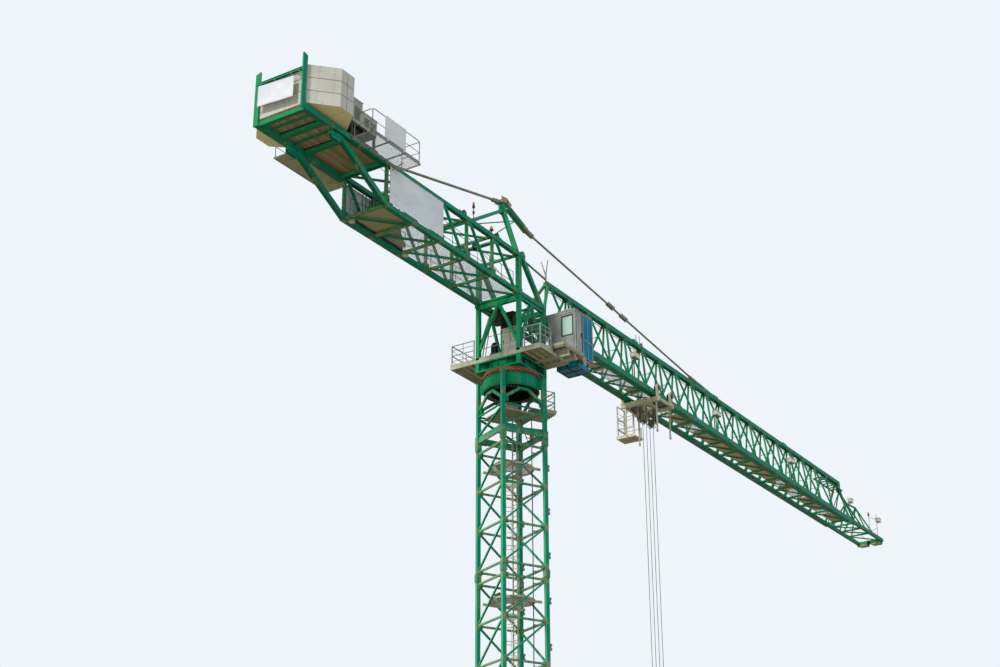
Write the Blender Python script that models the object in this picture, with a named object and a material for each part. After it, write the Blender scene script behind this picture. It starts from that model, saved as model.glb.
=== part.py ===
# Tower crane with a lattice mast, a triangular jib and a raised counterweight platform
#
# Every size below is the real crane's, in metres. SCALE turns it into the half-size model.
# The origin is on the slewing axis at ground level, +X runs along the jib and +Z is up.

import math

import bmesh
import bpy
from mathutils import Matrix, Vector

SCALE = 0.5
GAP = 0.0008

# Mast
MAST_TURN = math.radians(-26.0)
MAST_HALF = 1.15
LEG = 0.18
COLLAR = 0.03
BASE_BEAM_HEIGHT = 0.45
BASE_REACH = 3.2
BASE_TOP = 2.65
SECTION = 6.36
SECTIONS = 4
BAY = 1.925
FIRST_NODE = 0.29
HEAD_BOTTOM = BASE_TOP + SECTION * SECTIONS
HEAD_TOP = 31.4
BRACE = 0.09
REST_DROP = 1.2

# Mast head
DEEP_BEAM = 28.49
HEAD_BEAM = 29.7
ARCH_FOOT = 29.95
ARCH_CROWN = 30.62
ARCH_KNEE = 0.3
HEAD_DECK = 29.5
WALK_DECK = 29.93

# Slewing ring and turntable
DRUM_RADIUS = 1.35
DRUM_BOTTOM = 30.74
RING_BOTTOM = HEAD_TOP + 0.02
RING_TOP = RING_BOTTOM + 0.2
RING_TEETH = 30
TURNTABLE_BOTTOM = RING_TOP + 0.012
TURNTABLE_TOP = 32.2
TURNTABLE_X = 1.22
TURNTABLE_Y = 1.27
DECK_TOP = 32.36
CAB_TRAY = 32.6
FOOT_WINDOW = 32.28

# Tower frame above the turntable
TOWER_X = 1.1
SIDE_Y = 1.17
TOWER_POST = 0.2

# Counter-jib
COUNTER_LOW = 35.4
COUNTER_HIGH = 37.45
COUNTER_END = -11.8
COUNTER_CHORD = 0.22
COUNTER_NODES = (-11.8, -9.75, -7.7, -5.6, -3.45, -1.1)

# Counterweight platform
PLATFORM_END = -17.62
PLATFORM_Y = 1.25
PLATFORM_Z = 37.35
PLATFORM_CHORD = 0.26
STOP_TOP = 39.87
STOP_RAIL = 39.22
BALLAST_BOTTOM = 37.56
BALLAST_LAYER = 0.63
BALLAST_HALF = 2.3
BALLAST_LAYERS = 3

# Jib
JIB_Y = 0.86
JIB_LOW = 35.0
JIB_HIGH = 37.93
JIB_ROOT = 1.45
JIB_TOP_START = 3.3
JIB_TOP_END = 41.8
JIB_JOINT = 41.4
JIB_END = 47.2
JIB_BAY = 2.0
JIB_FIRST_TOP = 5.4
JIB_TOP_NODES = 18
CHORD_WIDTH = 0.2
CHORD_HEIGHT = 0.3
TIP_CHORD_HEIGHT = 0.22
TOP_CHORD = 0.26

# Apex frame and stays
APEX = (-0.7, 0.0, 40.75)
LINK_END = (1.45, 0.0, 40.2)

# Trolley, ropes and hook
TROLLEY_X = 13.97
TROLLEY_HALF = 0.75
TROLLEY_BEAM = 34.65
SHEAVE_Z = 33.75
ROPE_TOP = 33.45
HOOK_Z = 1.6

# Colours: base colour, roughness and metallic value
GREEN = ("crane_green", (0.01, 0.27, 0.10), 0.5, 0.1)
GALVANISED = ("galvanised_steel", (0.35, 0.40, 0.38), 0.5, 0.7)
CREAM = ("cream_paint", (0.60, 0.54, 0.40), 0.55, 0.1)
GREY = ("grey_paint", (0.42, 0.42, 0.37), 0.5, 0.1)
KHAKI = ("weathered_bar", (0.22, 0.22, 0.14), 0.6, 0.3)
ORANGE = ("primer_orange", (0.52, 0.13, 0.04), 0.6, 0.1)
CONCRETE = ("concrete", (0.58, 0.54, 0.46), 0.9, 0.0)
TIMBER = ("deck_brown", (0.20, 0.14, 0.08), 0.8, 0.0)
BLUE_GLASS = ("tinted_glass", (0.02, 0.20, 0.35), 0.1, 0.0)
WHITE = ("white_panel", (0.85, 0.85, 0.82), 0.5, 0.0)
STEEL = ("dark_steel", (0.08, 0.08, 0.08), 0.5, 0.8)

materials = {}


def clear_scene():
    for item in list(bpy.data.objects):
        bpy.data.objects.remove(item)


def make_collection(name):
    collection = bpy.data.collections.new(name)
    bpy.context.scene.collection.children.link(collection)
    return collection


def get_material(spec):
    name, colour, roughness, metallic = spec
    if name not in materials:
        mat = bpy.data.materials.new(name)
        mat.use_nodes = True
        shader = mat.node_tree.nodes["Principled BSDF"]
        shader.inputs["Base Color"].default_value = (*colour, 1.0)
        shader.inputs["Roughness"].default_value = roughness
        shader.inputs["Metallic"].default_value = metallic
        materials[name] = mat
    return materials[name]


# Shapes. Each adds one closed solid to a bmesh.

def add_box(bm, low, high):
    low = Vector(low)
    high = Vector(high)
    size = high - low
    move = Matrix.Translation((low + high) / 2)
    bmesh.ops.create_cube(bm, size=1.0, matrix=move @ Matrix.Diagonal((*size, 1.0)))


def axes_along(start, end, side):
    # An orthogonal frame whose Z runs from start to end and whose X leans towards side
    along = (Vector(end) - Vector(start)).normalized()
    across = Vector(side) - along * along.dot(Vector(side))
    across.normalize()
    third = along.cross(across)
    return Matrix((across, third, along)).transposed().to_4x4()


def add_bar(bm, start, end, width, depth=None, side=(0, 1, 0), extra=0.0):
    # A rectangular bar: width lies along side and depth across it
    start = Vector(start)
    end = Vector(end)
    depth = width if depth is None else depth
    length = (end - start).length + 2 * extra
    turn = axes_along(start, end, side)
    move = Matrix.Translation((start + end) / 2)
    size = Matrix.Diagonal((width, depth, length, 1.0))
    bmesh.ops.create_cube(bm, size=1.0, matrix=move @ turn @ size)


def add_rod(bm, start, end, radius, sides=8, radius_end=None):
    start = Vector(start)
    end = Vector(end)
    side = (0, 1, 0) if abs((end - start).normalized().y) < 0.9 else (1, 0, 0)
    turn = axes_along(start, end, side)
    move = Matrix.Translation((start + end) / 2)
    last = radius if radius_end is None else radius_end
    bmesh.ops.create_cone(
        bm, cap_ends=True, segments=sides, radius1=radius, radius2=last,
        depth=(end - start).length, matrix=move @ turn)


def add_prism(bm, outline, low, high):
    # An outline in plan, raised from low to high
    bottom = [bm.verts.new((x, y, low)) for x, y in outline]
    face = bm.faces.new(bottom)
    grown = bmesh.ops.extrude_face_region(bm, geom=[face])
    raised = [v for v in grown["geom"] if isinstance(v, bmesh.types.BMVert)]
    bmesh.ops.translate(bm, verts=raised, vec=(0, 0, high - low))
    bmesh.ops.recalc_face_normals(bm, faces=bm.faces)


# Objects

def link_mesh(name, bm, collection):
    bmesh.ops.scale(bm, vec=(SCALE, SCALE, SCALE), verts=bm.verts)
    mesh = bpy.data.meshes.new(name)
    bm.to_mesh(mesh)
    bm.free()
    item = bpy.data.objects.new(name, mesh)
    collection.objects.link(item)
    return item


def boolean(item, other, operation):
    modifier = item.modifiers.new(operation.lower(), "BOOLEAN")
    modifier.operation = operation
    modifier.solver = "EXACT"
    modifier.use_self = True
    modifier.object = other
    graph = bpy.context.evaluated_depsgraph_get()
    result = bpy.data.meshes.new_from_object(item.evaluated_get(graph))
    item.modifiers.clear()
    item.data = result
    bpy.data.objects.remove(other)


def split_first_shell(bm):
    # Moves every shell but the first into a bmesh of its own
    first = set()
    stack = [bm.verts[0]]
    while stack:
        vert = stack.pop()
        if vert in first:
            continue
        first.add(vert)
        stack.extend(edge.other_vert(vert) for edge in vert.link_edges)
    rest = bm.copy()
    rest.verts.ensure_lookup_table()
    inside = [rest.verts[vert.index] for vert in first]
    outside = [vert for vert in bm.verts if vert not in first]
    bmesh.ops.delete(rest, geom=inside, context="VERTS")
    bmesh.ops.delete(bm, geom=outside, context="VERTS")
    return rest


def add_node(name, bm, spec, parent, trim=None):
    # Fuses the shells of bm into one closed solid, then cuts trim away from it
    bm.verts.ensure_lookup_table()
    bm.verts.index_update()
    rest = split_first_shell(bm)
    item = link_mesh(name, bm, crane)
    if rest.verts:
        boolean(item, link_mesh("rest", rest, cutters), "UNION")
    else:
        rest.free()
    if trim is not None:
        boolean(item, link_mesh("trim", trim, cutters), "DIFFERENCE")
    item.data.name = name
    item.data.materials.clear()
    item.data.materials.append(get_material(spec))
    item.parent = parent
    return item


def copy_node(name, source, turn):
    item = bpy.data.objects.new(name, source.data)
    crane.objects.link(item)
    item.parent = source.parent
    item.rotation_euler.z = turn
    return item


def add_empty(name, place=(0, 0, 0), turn=0.0, parent=None):
    item = bpy.data.objects.new(name, None)
    crane.objects.link(item)
    item.location = Vector(place) * SCALE
    item.rotation_euler.z = turn
    item.parent = parent
    return item


# Mast, in its own frame: the legs stand at the corners of a square about the origin

def leg_box(bm, x, y, low, high, grow=0.0):
    half = LEG / 2 + grow
    add_box(bm, (x - half, y - half, low), (x + half, y + half, high))


def brace_levels():
    levels = [BASE_BEAM_HEIGHT + 0.25]
    for section in range(SECTIONS):
        bottom = BASE_TOP + section * SECTION
        levels += [bottom + FIRST_NODE + bay * BAY for bay in range(4)]
    return levels


def make_mast_side():
    # One leg at the corner and the bracing of the face that follows it
    bm = bmesh.new()
    edge = MAST_HALF
    leg_box(bm, -edge, -edge, BASE_BEAM_HEIGHT + GAP, HEAD_BOTTOM - GAP)
    levels = brace_levels()
    for level in levels:
        add_bar(bm, (-edge, -edge, level), (edge, -edge, level), BRACE)
    for low, high in zip(levels, levels[1:]):
        if high - low > 0.5 * BAY:
            add_bar(bm, (-edge, -edge, low), (edge, -edge, high), BRACE - 0.01)
    for joint in range(SECTIONS + 1):
        place = BASE_TOP + joint * SECTION
        high = min(place + 0.16, HEAD_BOTTOM - GAP)
        leg_box(bm, -edge, -edge, place - 0.16, high, COLLAR)
    trim = bmesh.new()
    leg_box(trim, edge, -edge, 0.0, HEAD_BOTTOM + 1.0, COLLAR + GAP)
    side = add_node("mast_side_1", bm, GREEN, mast_frame, trim)
    for turn in range(1, 4):
        copy_node(f"mast_side_{turn + 1}", side, turn * math.pi / 2)


def make_head_side():
    # The head's corner post, deep beam, diagonal and arched bracket in one face
    bm = bmesh.new()
    edge = MAST_HALF
    leg_box(bm, -edge, -edge, HEAD_BOTTOM + GAP, HEAD_TOP)
    leg_box(bm, -edge, -edge, HEAD_BOTTOM + 2 * GAP, DEEP_BEAM + 0.16, COLLAR)
    add_bar(bm, (-edge, -edge, DEEP_BEAM), (edge, -edge, DEEP_BEAM), 0.1, 0.31)
    add_bar(bm, (-edge, -edge, DEEP_BEAM + 0.22), (edge, -edge, HEAD_BEAM - 0.1), BRACE)
    add_bar(bm, (-edge, -edge, HEAD_BEAM), (edge, -edge, HEAD_BEAM), 0.07)
    for way in (-1, 1):
        foot = (way * edge, -edge, ARCH_FOOT)
        shoulder = (way * ARCH_KNEE, -edge, ARCH_CROWN - 0.06)
        add_bar(bm, foot, shoulder, 0.1, 0.15, extra=0.02)
    knee = ARCH_KNEE
    add_bar(bm, (-knee, -edge, ARCH_CROWN - 0.02), (knee, -edge, ARCH_CROWN - 0.02), 0.1, 0.13)
    trim = bmesh.new()
    leg_box(trim, edge, -edge, 0.0, HEAD_TOP + 1.0, COLLAR + GAP)
    side = add_node("head_side_1", bm, GREEN, mast_frame, trim)
    for turn in range(1, 4):
        copy_node(f"head_side_{turn + 1}", side, turn * math.pi / 2)


def make_drum():
    # The ring's support: an open drum with a web to each corner post
    bm = bmesh.new()
    add_rod(bm, (0, 0, DRUM_BOTTOM), (0, 0, HEAD_TOP), DRUM_RADIUS, 28)
    corner = MAST_HALF
    web = (DRUM_BOTTOM + HEAD_TOP) / 2
    far = corner * math.sqrt(2)
    for turn in range(4):
        angle = math.radians(45 + 90 * turn)
        end = (far * math.cos(angle), far * math.sin(angle), web)
        add_bar(bm, (0, 0, web), end, 0.5, 0.08, side=(0, 0, 1))
    trim = bmesh.new()
    add_rod(trim, (0, 0, DRUM_BOTTOM - 1), (0, 0, HEAD_TOP + 1), DRUM_RADIUS - 0.35, 20)
    for x in (-corner, corner):
        for y in (-corner, corner):
            leg_box(trim, x, y, DRUM_BOTTOM - 1, HEAD_TOP + 1, GAP)
    add_node("collector_drum", bm, GREEN, mast_frame, trim)


def make_base():
    # Two crossed beams, with a raking strut from each beam end to the mast's leg
    bm = bmesh.new()
    reach = BASE_REACH
    corner = MAST_HALF * math.sqrt(2)
    middle = Vector((0, 0, BASE_BEAM_HEIGHT / 2))
    trim = bmesh.new()
    for angle in (45, 135):
        way = Vector((math.cos(math.radians(angle)), math.sin(math.radians(angle)), 0))
        side = way.cross(Vector((0, 0, 1)))
        add_bar(bm, middle - way * reach, middle + way * reach, 0.4, BASE_BEAM_HEIGHT, side=side)
        for end in (-1, 1):
            foot = way * end * (reach - 0.25) + Vector((0, 0, 0.3))
            head = way * end * corner + Vector((0, 0, 2.4))
            add_bar(bm, foot, head, 0.16, side=side)
            leg = way * end * corner
            leg_box(trim, leg.x, leg.y, BASE_BEAM_HEIGHT + GAP / 2, 4, COLLAR + GAP)
            inner = way * end * (corner - 0.2)
            leg_box(trim, inner.x, inner.y, 1.0, 4, COLLAR + GAP)
    add_node("base_cross", bm, GREEN, mast_frame, trim)


def make_ladder():
    # One ladder up the mast through the hatches of its resting platforms
    bm = bmesh.new()
    x = 0.55
    y = 0.62
    low = BASE_BEAM_HEIGHT + GAP
    high = HEAD_DECK + 0.9
    for way in (-0.2, 0.2):
        add_box(bm, (x - 0.03, y + way - 0.02, low), (x + 0.03, y + way + 0.02, high))
    steps = 14
    for step in range(steps):
        z = low + 0.4 + step * (high - low - 0.6) / (steps - 1)
        add_bar(bm, (x, y - 0.21, z), (x, y + 0.21, z), 0.035, side=(0, 0, 1))
    trim = bmesh.new()
    turn = Matrix.Rotation(math.pi / 8, 4, "Z")
    for joint in range(1, SECTIONS + 1):
        z = BASE_TOP + joint * SECTION - REST_DROP
        place = Matrix.Translation((0, 0, z)) @ turn
        bmesh.ops.create_cone(
            bm, cap_ends=True, segments=8, radius1=1.08, radius2=1.08, depth=0.06, matrix=place)
        add_box(trim, (x - 0.6, y - 0.32, z - 0.1), (x - 0.04, y + 0.32, z + 0.1))
    add_node("mast_ladder", bm, GALVANISED, mast_frame, trim)


def make_head_platform():
    # The floor inside the head, with a step up to the guarded platform outside it
    bm = bmesh.new()
    floor = HEAD_DECK
    walk = WALK_DECK
    add_box(bm, (-0.98, -0.98, floor), (0.98, 0.98, floor + 0.06))
    add_box(bm, (0.86, -0.3, floor), (0.94, 0.3, walk + 0.07))
    add_box(bm, (0.86, -0.55, walk), (2.2, 0.7, walk + 0.07))
    for x, y in ((2.15, -0.5), (2.15, 0.65), (1.4, -0.5), (1.4, 0.65)):
        add_box(bm, (x - 0.025, y - 0.025, walk + 0.02), (x + 0.025, y + 0.025, walk + 1.17))
    for z in (walk + 0.62, walk + 1.14):
        add_bar(bm, (1.4, -0.5, z), (2.17, -0.5, z), 0.04)
        add_bar(bm, (1.4, 0.65, z), (2.17, 0.65, z), 0.04)
        add_bar(bm, (2.15, -0.5, z), (2.15, 0.65, z), 0.04, side=(0, 0, 1))
    trim = bmesh.new()
    add_box(trim, (0.1, 0.3, floor - 1), (0.72, 0.9, floor + 0.2))
    add_node("head_platform", bm, TIMBER, mast_frame, trim)
    bm = bmesh.new()
    add_rod(bm, (-0.15, -0.15, floor + 0.06 + GAP), (-0.15, -0.15, floor + 0.5), 0.38, 16)
    add_rod(bm, (-0.15, -0.15, floor + 0.45), (-0.15, -0.15, floor + 0.62), 0.2, 12)
    add_node("cable_pot", bm, GALVANISED, mast_frame)


def make_slew_ring():
    # A toothed lower half under a plain race
    bm = bmesh.new()
    outline = []
    for tooth in range(RING_TEETH):
        for part, radius in ((0.0, 1.40), (0.5, 1.40), (0.62, 1.34), (0.88, 1.34)):
            angle = 2 * math.pi * (tooth + part) / RING_TEETH
            outline.append((radius * math.cos(angle), radius * math.sin(angle)))
    add_prism(bm, outline, RING_BOTTOM, RING_BOTTOM + 0.11)
    add_rod(bm, (0, 0, RING_BOTTOM + 0.08), (0, 0, RING_TOP), 1.36, 24)
    trim = bmesh.new()
    add_rod(trim, (0, 0, RING_BOTTOM - 1), (0, 0, RING_TOP + 1), 1.12, 24)
    add_node("slew_ring", bm, ORANGE, mast_frame, trim)


# Upper works

def make_turntable():
    # A square box on a round flange: corner posts between two plates about a drum
    bm = bmesh.new()
    low = TURNTABLE_BOTTOM
    x, y = TURNTABLE_X, TURNTABLE_Y
    add_rod(bm, (0, 0, low), (0, 0, low + 0.07), 1.36, 24)
    add_rod(bm, (0, 0, low + 0.05), (0, 0, TURNTABLE_TOP), 1.12, 20)
    add_box(bm, (-x, -y, low + 0.05), (x, y, low + 0.13))
    add_box(bm, (-x, -y, TURNTABLE_TOP - 0.07), (x, y, TURNTABLE_TOP))
    for way_x in (-1, 1):
        for way_y in (-1, 1):
            outer = Vector((way_x * (x - 0.1), way_y * (y - 0.1), 0))
            inner = outer * 0.6
            middle = (low + TURNTABLE_TOP) / 2 + 0.02
            lift = Vector((0, 0, middle))
            height = TURNTABLE_TOP - low - 0.1
            add_box(bm, outer + Vector((-0.1, -0.1, low + 0.1)), outer + Vector((0.1, 0.1, TURNTABLE_TOP)))
            add_bar(bm, inner + lift, outer + lift, height, 0.06, side=(0, 0, 1))
    trim = bmesh.new()
    add_rod(trim, (0, 0, RING_BOTTOM - 1), (0, 0, TURNTABLE_TOP + 1), 0.98, 20)
    add_node("turntable", bm, GREEN, upper, trim)


def rail_run(bm, points, floor, height, bars=(0.55, 1.0), post=0.05):
    # Posts at the points, with a top and a middle rail between them
    for x, y in points:
        add_box(bm, (x - post / 2, y - post / 2, floor), (x + post / 2, y + post / 2, floor + height))
    for (xa, ya), (xb, yb) in zip(points, points[1:]):
        for share in bars:
            z = floor + height * share - post * 0.6
            side = (0, 0, 1)
            add_bar(bm, (xa, ya, z), (xb, yb, z), post * 0.8, side=side)


def make_slewing_platform():
    # A deck plate on edge channels and joists, with guardrails
    bm = bmesh.new()
    low = TURNTABLE_TOP + GAP
    rear, front, near, far = -1.2, 1.35, -2.45, 2.75
    add_box(bm, (rear, near, DECK_TOP - 0.04), (front, far, DECK_TOP))
    for x in (rear, front - 0.07):
        add_box(bm, (x, near, low), (x + 0.07, far, DECK_TOP - 0.01))
    for y in (near, -1.0, 0.93, far - 0.07):
        add_box(bm, (rear, y, low), (front, y + 0.07, DECK_TOP - 0.01))
    for x in (0.35, 1.0):
        add_box(bm, (x, -3.05, low), (x + 0.14, -1.2, DECK_TOP - 0.01))
    foot = DECK_TOP - 0.02
    rail_run(bm, ((rear + 0.05, -1.5), (rear + 0.05, -2.4), (-0.2, -2.4)), foot, 1.15)
    far_rail = far - 0.05
    rail_run(bm, ((rear + 0.05, 1.4), (rear + 0.05, far_rail), (1.3, far_rail), (1.3, 1.4)), foot, 1.15)
    trim = bmesh.new()
    add_rod(trim, (0, 0, low - 1), (0, 0, DECK_TOP + 1), 0.75, 20)
    add_node("slewing_platform", bm, CREAM, upper, trim)


def make_tower():
    low = DECK_TOP + GAP
    high = COUNTER_LOW - COUNTER_CHORD / 2 - GAP
    half = TOWER_POST / 2
    beam = high - 0.1
    for name, y in (("near", -SIDE_Y), ("far", SIDE_Y)):
        bm = bmesh.new()
        for x in (-TOWER_X, TOWER_X):
            add_box(bm, (x - half, y - half, low), (x + half, y + half, high))
            add_bar(bm, (x, y, low + 0.3), (0, y, beam), 0.13)
        add_bar(bm, (-TOWER_X, y, beam), (TOWER_X, y, beam), 0.14, 0.16)
        add_box(bm, (-TOWER_X - 0.25, y - 0.06, high - 0.22), (-TOWER_X + 0.3, y + 0.06, high))
        add_node(f"tower_side_{name}", bm, GREEN, upper)
    grown = half + GAP
    for name, x in (("rear", -TOWER_X), ("front", TOWER_X)):
        bm = bmesh.new()
        add_bar(bm, (x, -SIDE_Y, high - 0.14), (x, SIDE_Y, high - 0.14), 0.16, 0.26, side=(1, 0, 0))
        trim = bmesh.new()
        for y in (-SIDE_Y, SIDE_Y):
            add_bar(bm, (x, y, low + 0.35), (x, 0, beam), 0.13, side=(1, 0, 0))
            add_box(trim, (x - 1, y - grown, low - 1), (x + 1, y + grown, high + 1))
        add_node(f"tower_frame_{name}", bm, GREEN, upper, trim)


def truss_side(bm, y):
    # One side of the counter-jib, from its rear post to the tower head and the jib's root
    chord = COUNTER_CHORD
    head = COUNTER_NODES[-1]
    front = TOWER_X + 0.1
    add_bar(bm, (COUNTER_END - chord / 2, y, COUNTER_LOW), (front, y, COUNTER_LOW), chord)
    add_bar(bm, (COUNTER_END - chord / 2, y, COUNTER_HIGH), (head + 0.1, y, COUNTER_HIGH), chord)
    for x in COUNTER_NODES[:-1]:
        add_bar(bm, (x, y, COUNTER_LOW), (x, y, COUNTER_HIGH), 0.13)
    add_bar(bm, (head, y, COUNTER_LOW), (head, y, COUNTER_HIGH + 0.1), 0.2, 0.26)
    for left, right in zip(COUNTER_NODES, COUNTER_NODES[1:]):
        add_bar(bm, (left + 0.24, y, COUNTER_HIGH), (right - 0.3, y, COUNTER_LOW), 0.11)
    add_bar(bm, (head + 0.25, y, COUNTER_HIGH), (front - 0.2, y, COUNTER_LOW), 0.18, 0.24)
    add_rod(bm, (head + 0.27, y - 0.1, COUNTER_HIGH + 0.06), (head + 0.27, y + 0.1, COUNTER_HIGH + 0.06), 0.22, 8)
    for x in (COUNTER_END + 0.2, COUNTER_NODES[3], head):
        add_box(bm, (x - 0.3, y - 0.03, COUNTER_LOW), (x + 0.3, y + 0.03, COUNTER_LOW + 0.3))


def make_counter_jib():
    for name, y in (("near", -SIDE_Y), ("far", SIDE_Y)):
        bm = bmesh.new()
        truss_side(bm, y)
        add_node(f"counter_side_{name}", bm, GREEN, upper)
    inner = SIDE_Y - COUNTER_CHORD / 2 - GAP
    for name, z in (("floor", COUNTER_LOW), ("roof", COUNTER_HIGH)):
        bm = bmesh.new()
        for x in COUNTER_NODES:
            add_box(bm, (x - 0.06, -inner, z - 0.06), (x + 0.06, inner, z + 0.06))
        for left, right in zip(COUNTER_NODES, COUNTER_NODES[1:]):
            add_bar(bm, (left, 0.85, z), (right, -0.85, z), 0.09, side=(0, 0, 1))
        add_node(f"counter_{name}", bm, GREEN, upper)


def make_counter_platform():
    half = PLATFORM_CHORD / 2
    start = COUNTER_END - COUNTER_CHORD / 2 - GAP
    bm = bmesh.new()
    for y in (-PLATFORM_Y, PLATFORM_Y):
        add_box(bm, (PLATFORM_END, y - half, PLATFORM_Z - half), (start, y + half, PLATFORM_Z + half))
    for x in (PLATFORM_END + 0.13, -16.2, -14.6, start - 0.16):
        add_box(bm, (x - 0.1, -PLATFORM_Y, PLATFORM_Z - 0.1), (x + 0.1, PLATFORM_Y, PLATFORM_Z + 0.1))
    add_node("platform_frame", bm, GREEN, upper)
    top = PLATFORM_Z + half + GAP
    bm = bmesh.new()
    add_box(bm, (PLATFORM_END + 0.05, -PLATFORM_Y, top), (-12.0, PLATFORM_Y, BALLAST_BOTTOM - GAP))
    add_node("platform_deck", bm, TIMBER, upper)
    lower = PLATFORM_Z - half - GAP
    for name, y in (("near", -SIDE_Y), ("far", SIDE_Y)):
        bm = bmesh.new()
        add_bar(bm, (-15.5, y, PLATFORM_Z), (COUNTER_END, y, COUNTER_LOW), 0.2, 0.26)
        add_box(bm, (-15.75, y - 0.05, lower - 0.2), (-15.0, y + 0.05, lower))
        trim = bmesh.new()
        add_box(trim, (PLATFORM_END, -3, lower), (COUNTER_END + 1, 3, lower + 2))
        add_box(trim, (start, -3, COUNTER_LOW - 2), (COUNTER_END + 2, 3, PLATFORM_Z))
        add_node(f"platform_strut_{name}", bm, GREEN, upper, trim)
    bm = bmesh.new()
    rear = PLATFORM_END - GAP
    foot = PLATFORM_Z - half
    add_box(bm, (rear - 0.26, -1.37, foot), (rear, -1.3, STOP_TOP))
    add_box(bm, (rear - 0.07, 1.16, foot), (rear, 1.42, STOP_TOP))
    rail = rear - 0.06
    add_bar(bm, (rail, -1.34, STOP_RAIL), (rail, 1.3, STOP_RAIL), 0.1, side=(1, 0, 0))
    trim = bmesh.new()
    above = STOP_TOP + 0.14
    for x, y, angle, axis in ((rear - 0.26, -1.34, 14, "Y"), (rear, 1.16, -20, "X")):
        slope = Matrix.Translation((x, y, above)) @ Matrix.Rotation(math.radians(angle), 4, axis)
        bmesh.ops.create_cube(trim, size=1.0, matrix=slope @ Matrix.Diagonal((1.0, 1.0, 0.3, 1.0)))
    add_node("ballast_stop_frame", bm, GREEN, upper, trim)


def block_stack(name, outline):
    # Layers of one outline, with a narrower bed between them that leaves a groove
    bm = bmesh.new()
    centre = sum(x for x, y in outline) / len(outline)
    bed = [(centre + (x - centre) * 0.95, y * 0.975) for x, y in outline]
    groove = 0.03
    for layer in range(BALLAST_LAYERS):
        low = BALLAST_BOTTOM + layer * BALLAST_LAYER
        high = low + BALLAST_LAYER
        add_prism(bm, outline, low, high - groove)
        if layer < BALLAST_LAYERS - 1:
            add_prism(bm, bed, high - 3 * groove, high + groove)
    add_node(name, bm, CONCRETE, upper)


def make_ballast():
    half = BALLAST_HALF
    rear, seam, front = PLATFORM_END + 0.03, -16.1, -14.8
    corner = 1.28
    block_stack("ballast_rear", (
        (rear, -corner), (-16.5, -half), (seam - 0.02, -half),
        (seam - 0.02, half), (-16.5, half), (rear, corner)))
    block_stack("ballast_front", (
        (seam + 0.02, -half), (-15.65, -half), (front, -corner),
        (front, corner), (-15.65, half), (seam + 0.02, half)))


def make_machinery():
    floor = BALLAST_BOTTOM
    bm = bmesh.new()
    drum = -13.65
    axle = floor + 0.8
    add_box(bm, (-14.3, -1.05, floor), (-12.3, 1.1, floor + 0.3))
    add_rod(bm, (drum, -0.2, axle), (drum, 1.0, axle), 0.38, 12)
    for y in (-0.25, 0.95):
        add_rod(bm, (drum, y, axle), (drum, y + 0.06, axle), 0.52, 12)
    for x in (-14.1, -13.3, -12.5):
        for y in (-0.95, -0.35):
            add_box(bm, (x - 0.05, y - 0.05, floor + 0.2), (x + 0.05, y + 0.05, floor + 1.0))
    add_box(bm, (-14.15, -1.0, floor + 0.92), (-12.4, -0.3, floor + 1.0))
    add_node("hoist_winch", bm, STEEL, upper)
    bm = bmesh.new()
    shelf = floor + 1.0 + GAP
    add_box(bm, (-14.1, -1.02, shelf), (-13.45, -0.3, shelf + 1.15))
    add_box(bm, (-13.5, -1.02, shelf), (-12.4, -0.3, shelf + 0.75))
    add_node("hoist_cabinet", bm, GREY, upper)
    for name, way in (("near", -1), ("far", 1)):
        bm = bmesh.new()
        inner = PLATFORM_Y + PLATFORM_CHORD / 2 + GAP
        start, end = (-14.6, -11.1) if way < 0 else (-15.1, -11.4)
        ys = sorted((way * inner, way * 2.5))
        add_box(bm, (start, ys[0], 37.3), (end, ys[1], 37.36))
        y = way * 2.46
        third = (end - start) / 3
        points = [(start + 0.04, y), (start + third, y), (end - third, y), (end - 0.04, y), (end - 0.04, way * 1.5)]
        rail_run(bm, points, 37.35, 1.15, bars=(0.5, 1.0))
        add_node(f"catwalk_{name}", bm, GALVANISED, upper)
    bm = bmesh.new()
    floor = DECK_TOP + GAP
    add_box(bm, (-0.9, -0.95, floor + 0.05), (-0.4, -0.08, floor + 1.4))
    add_box(bm, (-0.92, -0.97, floor), (-0.38, -0.06, floor + 0.08))
    add_box(bm, (-0.94, -0.99, floor + 1.38), (-0.36, -0.04, floor + 1.44))
    add_node("electric_cabinet", bm, GREY, upper)


def make_cab():
    low = 32.75
    high = 35.1
    bm = bmesh.new()
    add_box(bm, (1.48, -2.8, low), (2.98, -1.25, high))
    trim = bmesh.new()
    add_box(trim, (1.56, -2.72, low + 0.08), (3.2, -1.33, high - 0.08))
    add_box(trim, (2.14, -2.9, low + 0.08), (3.2, -2.6, high - 0.12))
    add_box(trim, (1.4, -2.62, low + 1.1), (1.6, -2.05, high - 0.25))
    add_node("cab_shell", bm, GREY, upper, trim)
    bm = bmesh.new()
    add_box(bm, (2.1, -2.84, low - 0.02), (3.02, -2.8 - GAP, high - 0.05))
    add_box(bm, (2.98 + GAP, -2.84, low - 0.02), (3.03, -1.3, high - 0.05))
    add_box(bm, (2.98 + GAP, -2.6, FOOT_WINDOW), (3.03, -1.45, low))
    add_box(bm, (1.95, -2.59, FOOT_WINDOW + 0.01), (3.0, -1.46, CAB_TRAY - 0.04))
    add_node("cab_glass", bm, BLUE_GLASS, upper)
    bm = bmesh.new()
    add_box(bm, (1.5, -2.62 + GAP, low + 1.1 + GAP), (1.53, -2.05 - GAP, high - 0.25 - GAP))
    add_node("cab_rear_window", bm, BLUE_GLASS, upper)
    bm = bmesh.new()
    add_box(bm, (-0.06, -3.06, CAB_TRAY), (1.75, -1.35, CAB_TRAY + 0.13))
    add_box(bm, (1.5, -2.79, CAB_TRAY + 0.02), (2.9, -1.32, low - GAP))
    for x in (0.35, 1.0):
        add_box(bm, (x, -3.0, DECK_TOP + GAP), (x + 0.14, -1.4, CAB_TRAY + 0.02))
    add_node("cab_tray", bm, CREAM, upper)


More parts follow.
